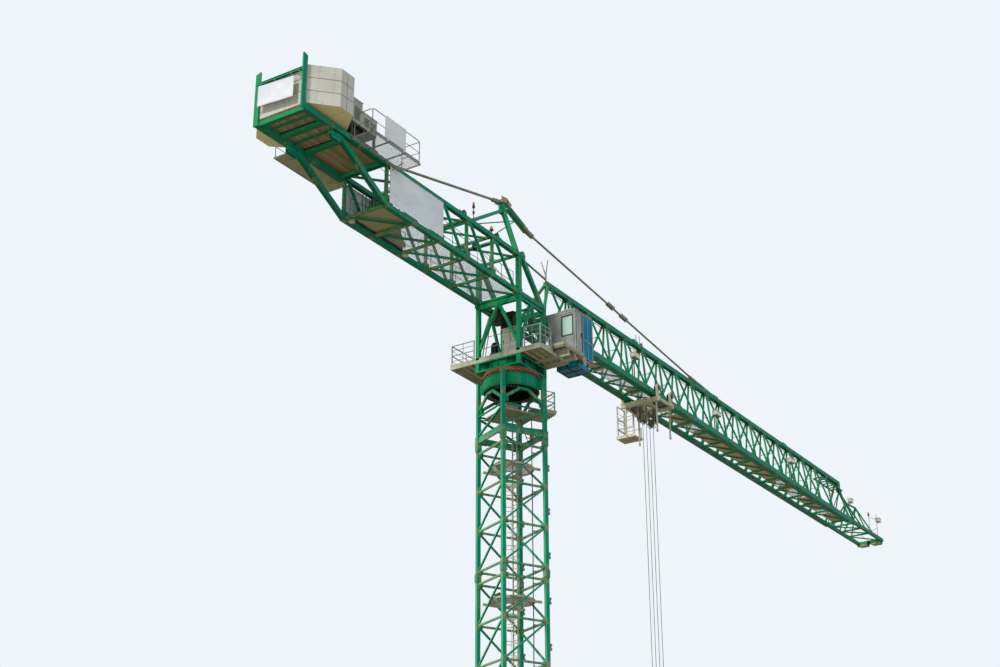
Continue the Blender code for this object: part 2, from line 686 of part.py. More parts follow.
def make_apex():
    # A leaning front leg and a near rear leg meet a far rear leg under the pulley block
    apex = Vector(APEX)
    block = apex - Vector((0, 0, 0.3))
    top = COUNTER_HIGH + COUNTER_CHORD / 2
    bm = bmesh.new()
    add_bar(bm, block, (-1.3, -SIDE_Y, top), 0.2, 0.26)
    for y in (-SIDE_Y, SIDE_Y):
        add_bar(bm, block, (-5.15, y, top), 0.15, 0.17)
    add_bar(bm, apex - Vector((0, 0, 0.5)), apex + Vector((0, 0, 0.25)), 0.3, 0.34)
    trim = bmesh.new()
    for y in (-SIDE_Y, SIDE_Y):
        add_box(trim, (-12, y - 0.4, COUNTER_HIGH - 1), (0.5, y + 0.4, top + GAP))
    add_node("apex_frame", bm, GREEN, upper, trim)
    bm = bmesh.new()
    head = APEX[0] - 0.17 - GAP
    add_rod(bm, (head + 0.1, 0, 40.85), (-11.8, 0, 38.18), 0.065, 8)
    add_box(bm, (-12.0, -0.06, BALLAST_BOTTOM + GAP), (-11.6, 0.06, 38.25))
    trim = bmesh.new()
    add_box(trim, (head, -1, 40), (head + 1, 1, 42))
    add_node("rear_tie", bm, KHAKI, upper, trim)
    bm = bmesh.new()
    link = Vector(LINK_END)
    joint = Vector((19.7, 0, 38.3))
    crown = JIB_HIGH + TOP_CHORD / 2 + GAP
    head = APEX[0] + 0.17 + GAP
    start = Vector((head - 0.1, 0, 40.88))
    add_bar(bm, start, link, 0.24, 0.26)
    add_rod(bm, link - Vector((0.1, 0, 0)), joint, 0.055, 8)
    for share in (0.46, 0.54):
        place = link.lerp(joint, share)
        add_bar(bm, place, place + (joint - link).normalized() * 0.5, 0.1, 0.16)
    add_bar(bm, link, link.lerp(joint, 0.035), 0.18, 0.2)
    wedge = [(19.4, 38.24), (19.4, 38.38), (23.2, crown + 0.04), (23.2, crown)]
    faces = [bm.verts.new((x, -0.06, z)) for x, z in wedge]
    face = bm.faces.new(faces)
    grown = bmesh.ops.extrude_face_region(bm, geom=[face])
    raised = [v for v in grown["geom"] if isinstance(v, bmesh.types.BMVert)]
    bmesh.ops.translate(bm, verts=raised, vec=(0, 0.12, 0))
    bmesh.ops.recalc_face_normals(bm, faces=bm.faces)
    trim = bmesh.new()
    add_box(trim, (18, -1, 37), (25, 1, crown))
    add_box(trim, (head - 1, -1, 39), (head, 1, 42))
    add_node("front_pendant", bm, KHAKI, upper, trim)


# Jib

def jib_bottom_nodes():
    return [JIB_FIRST_TOP - JIB_BAY / 2 + JIB_BAY * index for index in range(JIB_TOP_NODES + 1)]


def make_jib_sides():
    tops = [JIB_FIRST_TOP + JIB_BAY * index for index in range(JIB_TOP_NODES)]
    lows = jib_bottom_nodes()
    grown = TOP_CHORD / 2 + GAP
    for name, way in (("near", -1), ("far", 1)):
        bm = bmesh.new()
        y = way * JIB_Y
        end = JIB_JOINT - GAP
        add_bar(bm, (JIB_ROOT, y, JIB_LOW), (end, y, JIB_LOW), CHORD_WIDTH, CHORD_HEIGHT)
        lean = way * 0.1
        foot = way * (JIB_Y - 0.03)
        low = JIB_LOW + 0.1
        for index, x in enumerate(tops[:-1]):
            add_bar(bm, (lows[index], foot, low), (x - 0.03, lean, JIB_HIGH), 0.09)
            add_bar(bm, (lows[index + 1] - 0.01, foot, low), (x + 0.04, lean * 0.8, JIB_HIGH), 0.085)
        add_bar(bm, (lows[-2], foot, low), (tops[-1] - 0.03, lean, JIB_HIGH), 0.09)
        add_bar(bm, (JIB_ROOT + 0.15, foot, low), (JIB_TOP_START + 0.1, lean, JIB_HIGH), 0.12)
        add_bar(bm, (lows[0], foot, low), (JIB_TOP_START + 0.2, lean, JIB_HIGH), 0.09)
        add_bar(bm, (JIB_JOINT - 0.3, foot, low), (JIB_TOP_END - 0.25, lean, JIB_HIGH), 0.11)
        trim = bmesh.new()
        add_box(trim, (0, -grown, JIB_HIGH - grown), (50, grown, JIB_HIGH + 1))
        add_box(trim, (0, min(0, -way), 33), (50, max(0, -way), 40))
        add_node(f"jib_side_{name}", bm, GREEN, upper, trim)
    bm = bmesh.new()
    add_bar(bm, (JIB_TOP_START, 0, JIB_HIGH), (JIB_TOP_END, 0, JIB_HIGH), TOP_CHORD)
    add_box(bm, (JIB_TOP_END - 0.12, -0.12, JIB_HIGH - 0.6), (JIB_TOP_END, 0.12, JIB_HIGH))
    add_node("jib_top_chord", bm, GREEN, upper)


def make_jib_tip():
    # The low end section: lighter chords, an end beam and a short ridge on raking legs
    bm = bmesh.new()
    start = JIB_JOINT + GAP
    middle = JIB_LOW + (CHORD_HEIGHT - TIP_CHORD_HEIGHT) / 2
    ridge = ((43.1, 0, 36.85), (44.8, 0, 36.95))
    foot = JIB_LOW + 0.1
    for way in (-1, 1):
        y = way * JIB_Y
        inner = y - way * 0.03
        add_bar(bm, (start, y, middle), (JIB_END, y, middle), CHORD_WIDTH, TIP_CHORD_HEIGHT)
        for x, top in ((42.0, 0), (43.6, 0), (44.2, 1), (45.7, 1)):
            add_bar(bm, (x, inner, foot), ridge[top], 0.08)
        add_box(bm, (JIB_END - 0.05, y * 0.55 - 0.3, JIB_LOW - 0.2), (JIB_END + 0.22, y * 0.55 + 0.3, JIB_LOW))
    add_bar(bm, ridge[0], ridge[1], 0.1, extra=0.03)
    add_bar(bm, ridge[0], (JIB_TOP_END + 0.05, 0, 37.4), 0.1)
    cross = (42.2, 43.6, 45.0, JIB_END - 0.1)
    for x in cross:
        add_bar(bm, (x, -JIB_Y, middle), (x, JIB_Y, middle), 0.09, side=(0, 0, 1))
    add_box(bm, (JIB_END - 0.2, -JIB_Y, middle - 0.1), (JIB_END, JIB_Y, middle + 0.1))
    for left, right in zip(cross, cross[1:]):
        add_bar(bm, (left, 0.8, middle), (right, -0.8, middle), 0.07, side=(0, 0, 1))
    trim = bmesh.new()
    add_box(trim, (JIB_JOINT - 1, -0.3, 37), (JIB_TOP_END + GAP, 0.3, 39))
    add_node("jib_tip", bm, GREEN, upper, trim)


def make_jib_floor():
    bm = bmesh.new()
    inner = JIB_Y - CHORD_WIDTH / 2 - GAP
    lows = [JIB_ROOT + 0.3] + jib_bottom_nodes()[:-1] + [JIB_JOINT - 0.3]
    for x in lows:
        add_box(bm, (x - 0.045, -inner, JIB_LOW - 0.045), (x + 0.045, inner, JIB_LOW + 0.045))
    for left, right in zip(lows, lows[1:]):
        add_bar(bm, (left, 0.62, JIB_LOW), (right, -0.62, JIB_LOW), 0.07, side=(0, 0, 1))
    add_node("jib_floor", bm, GREEN, upper)
    bm = bmesh.new()
    top = JIB_LOW + 0.045 + GAP
    add_box(bm, (JIB_ROOT + 0.3, -0.28, top), (JIB_JOINT - 0.2, 0.28, top + 0.05))
    add_node("jib_walkway", bm, TIMBER, upper)


# Trolley and hook, placed about the trolley's own middle

def make_trolley():
    bm = bmesh.new()
    half = TROLLEY_HALF
    beam = TROLLEY_BEAM
    for x in (-half, half):
        add_box(bm, (x - 0.1, -1.22, beam - 0.13), (x + 0.1, 1.22, beam + 0.1))
    for way in (-1, 1):
        y = way * 1.12
        add_box(bm, (-half, y - 0.05, beam - 0.08), (half, y + 0.05, beam + 0.08))
        plate = sorted((way * 1.02, way * 1.08))
        for x in (-half, half):
            add_box(bm, (x - 0.14, plate[0], beam), (x + 0.14, plate[1], 35.42))
            add_rod(bm, (x, way * 0.9, 35.28), (x, way * 1.05, 35.28), 0.115, 8)
            leg = sorted((way * 0.93, way * 1.0))
            add_box(bm, (x - 0.035, leg[0], 32.75), (x + 0.035, leg[1], beam))
    for y in (-0.3, 0.3):
        add_box(bm, (-half, y - 0.04, beam - 0.12), (half, y + 0.04, beam + 0.08))
        reach = math.copysign(0.35, -y)
        add_box(bm, (reach - 0.15, y - 0.03, SHEAVE_Z), (reach + 0.15, y + 0.03, beam))
    for x in (-0.4, 0.4):
        add_box(bm, (x - 0.11, -0.29, beam - 0.1), (x + 0.11, 0.29, beam + 0.04))
        for y in (-0.14, 0.14):
            add_box(bm, (x - 0.09, y - 0.02, SHEAVE_Z - 0.1), (x + 0.09, y + 0.02, beam))
        add_rod(bm, (x, -0.08, SHEAVE_Z), (x, 0.08, SHEAVE_Z), 0.24, 10)
        add_rod(bm, (x, -0.2, SHEAVE_Z), (x, 0.2, SHEAVE_Z), 0.04, 5)
    add_node("trolley_frame", bm, CREAM, trolley)
    bm = bmesh.new()
    x0, x1, y0, y1 = 0.35, 1.17, 1.1, 2.12
    floor = 33.24
    add_box(bm, (x0 - 0.04, y0 - 0.07, floor), (x1 + 0.04, y1 + 0.04, floor + 0.06))
    rail_run(bm, ((x1, y1), (x0, y1)), floor + 0.04, 1.95, bars=(0.3, 0.62, 1.0), post=0.06)
    hanger = beam - 0.08 - GAP
    add_box(bm, (x0 - 0.03, y0 - 0.03, floor + 0.04), (x0 + 0.03, y0 + 0.03, hanger))
    add_box(bm, (x1 - 0.03, y0 - 0.03, floor + 0.04), (x1 + 0.03, y0 + 0.03, floor + 0.7))
    for rise in (0.6, 1.22):
        add_rod(bm, (x0, y0, floor + rise), (x0, y1, floor + rise), 0.022, 6)
    add_rod(bm, (x1, y0, floor + 0.66), (x1, y1, floor + 0.66), 0.022, 6)
    add_node("basket", bm, WHITE, trolley)


def make_ropes():
    bm = bmesh.new()
    top = ROPE_TOP
    low = HOOK_Z + 0.6
    for x in (-0.61, -0.2, 0.2, 0.61):
        add_rod(bm, (x, 0, low), (x, 0, top), 0.015, 6)
    add_box(bm, (-0.68, -0.05, top - 0.02), (0.68, 0.05, top + 0.05))
    add_node("hoist_ropes", bm, STEEL, trolley)
    bm = bmesh.new()
    low -= GAP
    for y in (-0.16, 0.16):
        add_box(bm, (-0.8, y - 0.03, HOOK_Z), (0.8, y + 0.03, low))
    add_box(bm, (-0.2, -0.17, HOOK_Z + 0.05), (0.2, 0.17, low - 0.05))
    add_box(bm, (-0.7, -0.05, HOOK_Z + 0.2), (0.7, 0.05, low))
    add_node("hook_block", bm, CREAM, hook)
    bm = bmesh.new()
    add_rod(bm, (0, 0, HOOK_Z - 0.3), (0, 0, HOOK_Z - GAP), 0.06, 10)
    points = [(-0.02, 0), (0.16, -0.14), (0.18, -0.34), (0.05, -0.5), (-0.14, -0.46), (-0.2, -0.3)]
    bend = HOOK_Z - 0.28
    for (xa, za), (xb, zb) in zip(points, points[1:]):
        add_rod(bm, (xa, 0, bend + za), (xb, 0, bend + zb), 0.055, 8)
    add_node("hook", bm, STEEL, hook)


clear_scene()
crane = make_collection("tower_crane")
cutters = make_collection("cutters")
mast_frame = add_empty("mast_frame", turn=MAST_TURN)
upper = add_empty("slewing_axis")
trolley = add_empty("trolley_slide", (TROLLEY_X, 0, 0), parent=upper)
hook = add_empty("hoist_slide", parent=trolley)

make_base()
make_mast_side()
make_head_side()
make_drum()
make_ladder()
make_head_platform()
make_slew_ring()
make_turntable()
make_slewing_platform()
make_tower()
make_counter_jib()
make_counter_platform()
make_ballast()
make_machinery()
make_cab()
make_apex()
make_jib_sides()
make_jib_tip()
make_jib_floor()
make_trolley()
make_ropes()
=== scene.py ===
import math
import random

import bpy
import bmesh
from mathutils import Matrix, Vector


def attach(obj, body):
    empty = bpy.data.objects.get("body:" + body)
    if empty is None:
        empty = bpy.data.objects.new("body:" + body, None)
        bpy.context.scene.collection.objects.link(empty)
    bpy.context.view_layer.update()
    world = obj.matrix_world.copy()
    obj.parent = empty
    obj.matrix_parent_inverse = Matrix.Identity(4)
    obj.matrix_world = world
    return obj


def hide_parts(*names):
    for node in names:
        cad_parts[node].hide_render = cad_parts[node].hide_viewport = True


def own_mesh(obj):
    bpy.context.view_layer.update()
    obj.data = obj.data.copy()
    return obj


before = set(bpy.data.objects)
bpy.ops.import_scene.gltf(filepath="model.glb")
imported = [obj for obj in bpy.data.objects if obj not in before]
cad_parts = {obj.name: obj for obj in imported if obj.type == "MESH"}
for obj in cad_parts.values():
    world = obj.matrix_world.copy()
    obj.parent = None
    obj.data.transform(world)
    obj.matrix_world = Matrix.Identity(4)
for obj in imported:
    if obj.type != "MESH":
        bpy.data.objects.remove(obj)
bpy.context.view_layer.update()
SCALE = 0.5
GAP = 0.0008
UP, ACROSS = Vector((0, 0, 1)), Vector((0, 1, 0))

# Camera, fitted to the photograph
CAMERA_PLACE = (-61.4048, -39.6198, 1.5880)
CAMERA_RIGHT = (0.549016, -0.835810, -0.001915)
CAMERA_UP = (-0.337354, -0.223692, 0.914415)
CAMERA_LENS = 58.74

# The mast's own frame is turned about Z
MAST_TURN = math.radians(-26.0)

# Places that several pieces share, in metres of the real crane
BASE_TOP, SECTION, SECTIONS = 2.65, 6.36, 4
BRACE_RISES = (0.29, 2.215, 4.14, 6.065)
LANDING_RISE = 5.16
MAST_HALF = 1.15
CORNERS = ((-1, -1), (-1, 1), (1, -1), (1, 1))
HEAD_FLOOR, WALK = 29.5, 30.0
DECK = 32.36
CAB_LOW, CAB_HIGH = 32.75, 35.1
COUNTER_NODES = (-11.8, -9.75, -7.7, -5.6, -3.45, -1.1)
SIDE_Y = 1.17
JIB_Y = 0.86
JIB_FIRST, JIB_BAY = 5.4, 2.0
JIB_JOINTS = (12.6, 22.6, 32.6)
TROLLEY_X = 13.97


def make_camera():
    data = bpy.data.cameras.new("camera")
    camera = bpy.data.objects.new("camera", data)
    bpy.context.scene.collection.objects.link(camera)
    right, up = Vector(CAMERA_RIGHT), Vector(CAMERA_UP)
    matrix = Matrix((right, up, right.cross(up))).transposed().to_4x4()
    matrix.translation = Vector(CAMERA_PLACE) * SCALE
    camera.matrix_world = matrix
    data.sensor_width = 36.0
    data.lens = CAMERA_LENS
    data.clip_end = 500.0
    bpy.context.scene.camera = camera


# Materials

def new_material(name):
    material = bpy.data.materials.new(name)
    material.use_nodes = True
    tree = material.node_tree
    shader = next(n for n in tree.nodes if n.type == "BSDF_PRINCIPLED")
    return material, tree, shader


class Graph:
    """Short ways to add the nodes that the materials use."""

    def __init__(self, name, roughness=0.5, metallic=0.0, gloss=0.25):
        self.material, self.tree, self.shader = new_material(name)
        for key, number in (("Roughness", roughness), ("Metallic", metallic), ("Specular IOR Level", gloss)):
            self.shader.inputs[key].default_value = number
        self.coords = self.add("TexCoord").outputs["Object"]

    def add(self, kind):
        return self.tree.nodes.new("ShaderNode" + kind)

    def link(self, output, target):
        self.tree.links.new(output, target)

    def feed(self, value, target):
        # A tone of three 8-bit values, a number or another node's output
        if isinstance(value, tuple):
            target.default_value = (*linear_tone(value), 1.0)
        elif isinstance(value, (int, float)):
            target.default_value = value
        else:
            self.link(value, target)

    def noise(self, scale, detail=4.0, rough=0.6, stretch=None):
        node = self.add("TexNoise")
        for key, number in (("Scale", scale), ("Detail", detail), ("Roughness", rough)):
            node.inputs[key].default_value = number
        self.link(self.mapped(stretch) if stretch else self.coords, node.inputs["Vector"])
        return node.outputs["Fac"]

    def mapped(self, stretch):
        node = self.add("Mapping")
        node.inputs["Scale"].default_value = stretch
        self.link(self.coords, node.inputs["Vector"])
        return node.outputs["Vector"]

    def ramp(self, value, low, high, dark=0.0, light=1.0):
        node = self.add("MapRange")
        node.interpolation_type = "SMOOTHSTEP"
        for key, number in (("From Min", low), ("From Max", high), ("To Min", dark), ("To Max", light)):
            node.inputs[key].default_value = number
        self.link(value, node.inputs["Value"])
        return node.outputs["Result"]

    def math(self, kind, first, second=None):
        node = self.add("Math")
        node.operation = kind
        for index, value in enumerate((first, second)):
            if value is not None:
                self.feed(value, node.inputs[index])
        return node.outputs["Value"]

    def mix(self, share, first, second):
        node = self.add("Mix")
        node.data_type = "RGBA"
        for name, value in (("Factor", share), ("A", first), ("B", second)):
            wanted = "VALUE" if name == "Factor" else "RGBA"
            self.feed(value, next(s for s in node.inputs if s.name == name and s.type == wanted))
        return next(s for s in node.outputs if s.type == "RGBA")

    def split(self):
        node = self.add("SeparateXYZ")
        self.link(self.coords, node.inputs["Vector"])
        return node.outputs["X"], node.outputs["Y"], node.outputs["Z"]

    def reach(self):
        # Distance from the slewing axis
        x, y, _ = self.split()
        return self.math("SQRT", self.math("ADD", self.math("MULTIPLY", x, x), self.math("MULTIPLY", y, y)))

    def facing(self):
        # How far the surface faces up (1), sideways (0) or down (-1)
        node = self.add("NewGeometry")
        parts = self.add("SeparateXYZ")
        self.link(node.outputs["Normal"], parts.inputs["Vector"])
        return parts.outputs["Z"]

    def towards(self, way):
        # 1 where the surface looks along way, 0 sideways to it
        geometry = self.add("NewGeometry")
        node = self.add("VectorMath")
        node.operation = "DOT_PRODUCT"
        self.link(geometry.outputs["Normal"], node.inputs[0])
        node.inputs[1].default_value = Vector(way).normalized()
        return node.outputs["Value"]

    def bump(self, height, strength=0.2, distance=0.01):
        node = self.add("Bump")
        node.inputs["Strength"].default_value = strength
        node.inputs["Distance"].default_value = distance
        self.link(height, node.inputs["Height"])
        self.link(node.outputs["Normal"], self.shader.inputs["Normal"])

    def colour(self, output):
        self.link(output, self.shader.inputs["Base Color"])

    def roughness(self, value, low, high):
        self.link(self.ramp(value, 0.3, 0.7, low, high), self.shader.inputs["Roughness"])


def linear_tone(tone):
    shares = [value / 255.0 for value in tone]
    return [share / 12.92 if share <= 0.04045 else ((share + 0.055) / 1.055) ** 2.4 for share in shares]


def near_joints(graph, value, start, period, offsets, reach):
    # 1 near start plus each offset, repeated every period, and 0 farther off than reach
    total = None
    for offset in offsets:
        shifted = graph.math("SUBTRACT", value, (start + offset - period / 2) * SCALE)
        place = graph.math("FLOORED_MODULO", shifted, period * SCALE)
        off = graph.math("ABSOLUTE", graph.math("SUBTRACT", place, period * SCALE / 2))
        near = graph.ramp(off, reach * SCALE, 0.0)
        total = near if total is None else graph.math("MAXIMUM", total, near)
    return total


def green_paint(name, axis=None, start=0.0, period=2.0, offsets=(0.0,), rust_tone=(118, 92, 44),
                under=(0, 66, 34), hollow=0.0, faded_sunlit_tone=(34, 156, 92)):
    # Weathered paint: chalky and lighter where the sun falls, which is faded paint with painted sunlight; a
    # bluer green away from the sun and dark on the downward faces, which is painted shade; rusty at the
    # joints
    g = Graph(name, roughness=0.5, gloss=0.1)
    patches = g.noise(0.9, 5.0, 0.6)
    fine = g.noise(14.0, 6.0, 0.7)
    streaks = g.noise(3.0, 4.0, 0.6, (2.5, 2.5, 0.25))
    base = g.mix(g.ramp(patches, 0.35, 0.65), (0, 122, 74), (0, 150, 98))
    base = g.mix(g.ramp(fine, 0.3, 0.75, 0.0, 0.4), base, (0, 130, 84))
    # Painted shade: the sides away from the sun, towards -y, are a bluer green
    shaded = g.ramp(g.towards((0.1, -1.0, 0.0)), 0.5, 0.95, 0.0, 0.75)
    base = g.mix(shaded, base, (0, 140, 112))
    # Lighter on the faces towards the sun: faded paint, with painted sunlight on top of it
    sunny = g.ramp(g.towards((-0.9, 0.3, 0.1)), 0.25, 0.95)
    faded_and_sunlit = g.math("MULTIPLY", sunny, g.ramp(streaks, 0.2, 0.7, 0.25, 0.75))
    base = g.mix(faded_and_sunlit, base, faded_sunlit_tone)
    worn = g.ramp(g.math("MULTIPLY", streaks, fine), 0.26, 0.38, 0.0, 0.4)
    base = g.mix(worn, base, (118, 146, 98))
    # Painted shade: the downward faces go dark towards the under tone
    below = g.ramp(g.facing(), -0.35, -0.9)
    base = g.mix(g.math("MULTIPLY", below, 0.86), base, under)
    if hollow:
        # Painted shade: dark inside the drum
        inside = g.ramp(g.reach(), hollow * SCALE, (hollow - 0.02) * SCALE)
        base = g.mix(inside, base, under)
    rust = g.ramp(g.noise(38.0, 3.0, 0.7), 0.68, 0.76, 0.0, 0.5)
    if axis is not None:
        joint = near_joints(g, g.split()[axis], start, period, offsets, 0.26)
        spread = g.ramp(g.noise(9.0, 5.0, 0.7), 0.42, 0.6)
        rust = g.math("MAXIMUM", rust, g.math("MULTIPLY", joint, spread))
    base = g.mix(g.math("MULTIPLY", rust, 0.75), base, rust_tone)
    g.colour(base)
    g.roughness(fine, 0.4, 0.7)
    g.bump(fine, 0.25, 0.004)
    return g.material


def dirty_paint(name, main, second, dirt, share=0.5, roughness=0.5, rust=0.3, under=0.6, bands=()):
    # Paint with run marks and rust specks, and olive brown-green on its lower faces, which is painted shade
    g = Graph(name, roughness=roughness)
    patches = g.noise(1.6, 5.0, 0.65)
    fine = g.noise(18.0, 5.0, 0.7)
    streaks = g.noise(4.0, 5.0, 0.65, (3.0, 3.0, 0.3))
    base = g.mix(g.ramp(patches, 0.35, 0.65), main, second)
    base = g.mix(g.ramp(streaks, 0.5, 0.72, 0.0, share), base, dirt)
    # Painted shade: the downward faces go olive
    base = g.mix(g.ramp(g.facing(), -0.2, -1.0, 0.0, under), base, (112, 106, 62))
    for low, high, reach, tone, strength in bands:
        # Another tone between two heights, within reach of the middle plane
        _, y, z = g.split()
        above = g.ramp(z, (low - 0.02) * SCALE, low * SCALE)
        below = g.ramp(z, high * SCALE, (high - 0.02) * SCALE)
        close = g.ramp(g.math("ABSOLUTE", y), (reach + 0.02) * SCALE, reach * SCALE)
        inside = g.math("MULTIPLY", g.math("MULTIPLY", above, below), close)
        marked = g.math("MULTIPLY", inside, g.ramp(fine, 0.3, 0.6, strength * 0.7, strength))
        base = g.mix(marked, base, tone)
    speck = g.ramp(g.noise(30.0, 4.0, 0.7), 0.62, 0.72, 0.0, rust)
    base = g.mix(speck, base, (112, 72, 40))
    g.colour(base)
    g.roughness(fine, roughness - 0.1, roughness + 0.15)
    g.bump(fine, 0.2, 0.004)
    return g.material


def concrete():
    g = Graph("concrete", roughness=0.85)
    patches = g.noise(0.8, 6.0, 0.6)
    grain = g.noise(30.0, 8.0, 0.7)
    streaks = g.noise(2.2, 5.0, 0.6, (4.0, 4.0, 0.25))
    pits = g.ramp(g.noise(16.0, 2.0, 0.5), 0.68, 0.72)
    base = g.mix(g.ramp(patches, 0.35, 0.65), (214, 210, 198), (198, 192, 178))
    base = g.mix(g.ramp(streaks, 0.52, 0.75, 0.0, 0.4), base, (156, 146, 124))
    base = g.mix(g.ramp(grain, 0.35, 0.75, 0.0, 0.25), base, (226, 222, 212))
    base = g.mix(g.math("MULTIPLY", pits, 0.5), base, (124, 116, 102))
    # Painted shade: the downward faces go tan
    base = g.mix(g.ramp(g.facing(), -0.2, -1.0, 0.0, 0.85), base, (176, 158, 98))
    g.colour(base)
    g.bump(g.math("SUBTRACT", grain, pits), 0.35, 0.006)
    return g.material


def deck_boards(name, axis=0):
    # Planks along one axis with dark gaps between them
    g = Graph(name, roughness=0.8)
    place = g.split()[1 - axis]
    plank = 0.2 * SCALE
    cut = g.math("FLOORED_MODULO", place, plank)
    gap = g.ramp(g.math("ABSOLUTE", g.math("SUBTRACT", cut, plank / 2)), plank * 0.44, plank * 0.5)
    number = g.math("FLOOR", g.math("DIVIDE", place, plank))
    tone = g.math("FRACT", g.math("MULTIPLY", number, 0.618))
    stretch = (0.6, 8.0, 4.0) if axis == 0 else (8.0, 0.6, 4.0)
    grain = g.noise(6.0, 5.0, 0.7, stretch)
    base = g.mix(tone, (112, 96, 58), (146, 126, 84))
    base = g.mix(g.ramp(grain, 0.35, 0.7, 0.0, 0.7), base, (84, 70, 44))
    base = g.mix(gap, base, (28, 24, 16))
    g.colour(base)
    g.bump(g.math("SUBTRACT", grain, gap), 0.4, 0.006)
    return g.material


def tie_bar():
    # Bare bars with brown scale; the thick link behind them is painted green
    g = Graph("tie_bar", roughness=0.5, metallic=0.2)
    length = g.noise(2.0, 5.0, 0.7)
    fine = g.noise(26.0, 5.0, 0.7)
    base = g.mix(g.ramp(length, 0.35, 0.65), (128, 128, 100), (156, 154, 124))
    base = g.mix(g.ramp(fine, 0.45, 0.7, 0.0, 0.6), base, (96, 80, 54))
    # Painted shade: the downward faces go dark
    base = g.mix(g.ramp(g.facing(), -0.3, -0.9, 0.0, 0.7), base, (58, 52, 34))
    x = g.split()[0]
    ahead = g.ramp(x, -0.52 * SCALE, -0.50 * SCALE)
    short = g.ramp(x, 1.12 * SCALE, 1.10 * SCALE)
    link = g.math("MULTIPLY", ahead, short)
    base = g.mix(link, base, g.mix(g.ramp(fine, 0.4, 0.7), (0, 92, 56), (28, 118, 72)))
    g.colour(base)
    g.roughness(fine, 0.4, 0.7)
    g.bump(fine, 0.3, 0.003)
    return g.material


def dark_steel():
    g = Graph("dark_steel", roughness=0.42, metallic=0.5)
    fine = g.noise(20.0, 5.0, 0.7)
    base = g.mix(g.ramp(fine, 0.4, 0.7), (46, 44, 42), (69, 66, 63))
    base = g.mix(g.ramp(g.noise(7.0, 4.0, 0.7), 0.58, 0.7, 0.0, 0.5), base, (96, 62, 38))
    g.colour(base)
    g.roughness(fine, 0.3, 0.6)
    g.bump(fine, 0.2, 0.003)
    return g.material


def orange_primer():
    # Primed outside, dark with grease on the lower teeth; darker still inside the ring and on its downward
    # faces, which is painted shade
    g = Graph("orange_primer", roughness=0.55)
    fine = g.noise(22.0, 5.0, 0.7)
    base = g.mix(g.ramp(fine, 0.35, 0.7), (190, 92, 52), (146, 68, 40))
    greased = g.ramp(g.split()[2], 31.53 * SCALE, 31.42 * SCALE, 0.0, 0.8)
    base = g.mix(g.math("MULTIPLY", greased, g.ramp(g.noise(8.0), 0.35, 0.6)), base, (66, 44, 32))
    # Painted shade inside the ring and on its downward faces
    inside = g.ramp(g.reach(), 1.31 * SCALE, 1.25 * SCALE)
    below = g.ramp(g.facing(), -0.5, -0.8)
    base = g.mix(g.math("MAXIMUM", inside, below), base, (30, 30, 26))
    g.colour(base)
    g.roughness(fine, 0.4, 0.7)
    g.bump(fine, 0.25, 0.003)
    return g.material


def blue_glass(name, tone, second):
    # Tinted glass with dried runs of dirt, lighter patches that are a painted sky reflection, and painted
    # shade on its downward faces
    g = Graph(name, roughness=0.2, gloss=0.04)
    # Painted reflection: lighter patches of sky in the glass
    painted_sky_reflection = g.noise(1.6, 3.0, 0.5, (1.0, 1.0, 0.6))
    base = g.mix(g.ramp(painted_sky_reflection, 0.4, 0.6), tone, second)
    dirt = g.ramp(g.noise(12.0, 5.0, 0.7, (1.0, 1.0, 0.35)), 0.55, 0.75, 0.0, 0.2)
    base = g.mix(dirt, base, (120, 160, 164))
    # Painted shade: the downward faces go dark
    base = g.mix(g.ramp(g.facing(), -0.2, -0.8, 0.0, 0.85), base, (4, 62, 74))
    g.colour(base)
    g.roughness(g.noise(9.0), 0.12, 0.3)
    return g.material


def rope_steel():
    # Steel rope with its lay as a slanting stripe
    g = Graph("rope_steel", roughness=0.45, metallic=0.6)
    x, y, z = g.split()
    twist = g.math("SINE", g.math("MULTIPLY", g.math("ADD", z, g.math("ADD", x, y)), 240.0))
    base = g.mix(g.ramp(twist, -1.0, 1.0), (52, 54, 58), (104, 106, 110))
    g.colour(g.mix(g.ramp(g.noise(5.0), 0.45, 0.65, 0.0, 0.6), base, (66, 58, 48)))
    g.bump(twist, 0.4, 0.002)
    return g.material


def sign_cloth():
    # A bare printed-sheet sign: off-white, creased, with painted shade, slightly grey-blue, along the relief
    # of its folds
    g = Graph("sign_sheet", roughness=0.4)
    folds = g.noise(1.3, 4.0, 0.55, (1.0, 1.0, 2.2))
    fine = g.noise(6.0, 5.0, 0.6)
    # Painted shade: slightly grey-blue along the fold relief
    base = g.mix(g.ramp(folds, 0.35, 0.7), (238, 238, 237), (222, 223, 226))
    base = g.mix(g.ramp(fine, 0.55, 0.8, 0.0, 0.3), base, (182, 176, 164))
    g.colour(base)
    g.bump(folds, 0.5, 0.05)
    return g.material


def plain(name, first, second, roughness):
    g = Graph(name, roughness=roughness)
    fine = g.noise(24.0, 4.0, 0.6)
    g.colour(g.mix(g.ramp(fine, 0.35, 0.65), first, second))
    g.roughness(fine, roughness - 0.1, roughness + 0.15)
    g.bump(fine, 0.15, 0.002)
    return g.material


def lens(name, tone):
    g = Graph(name, roughness=0.15)
    dust = g.ramp(g.noise(30.0, 3.0, 0.6), 0.5, 0.75, 0.0, 0.35)
    g.colour(g.mix(dust, tone, (180, 170, 150)))
    g.shader.inputs["Coat Weight"].default_value = 0.8
    return g.material
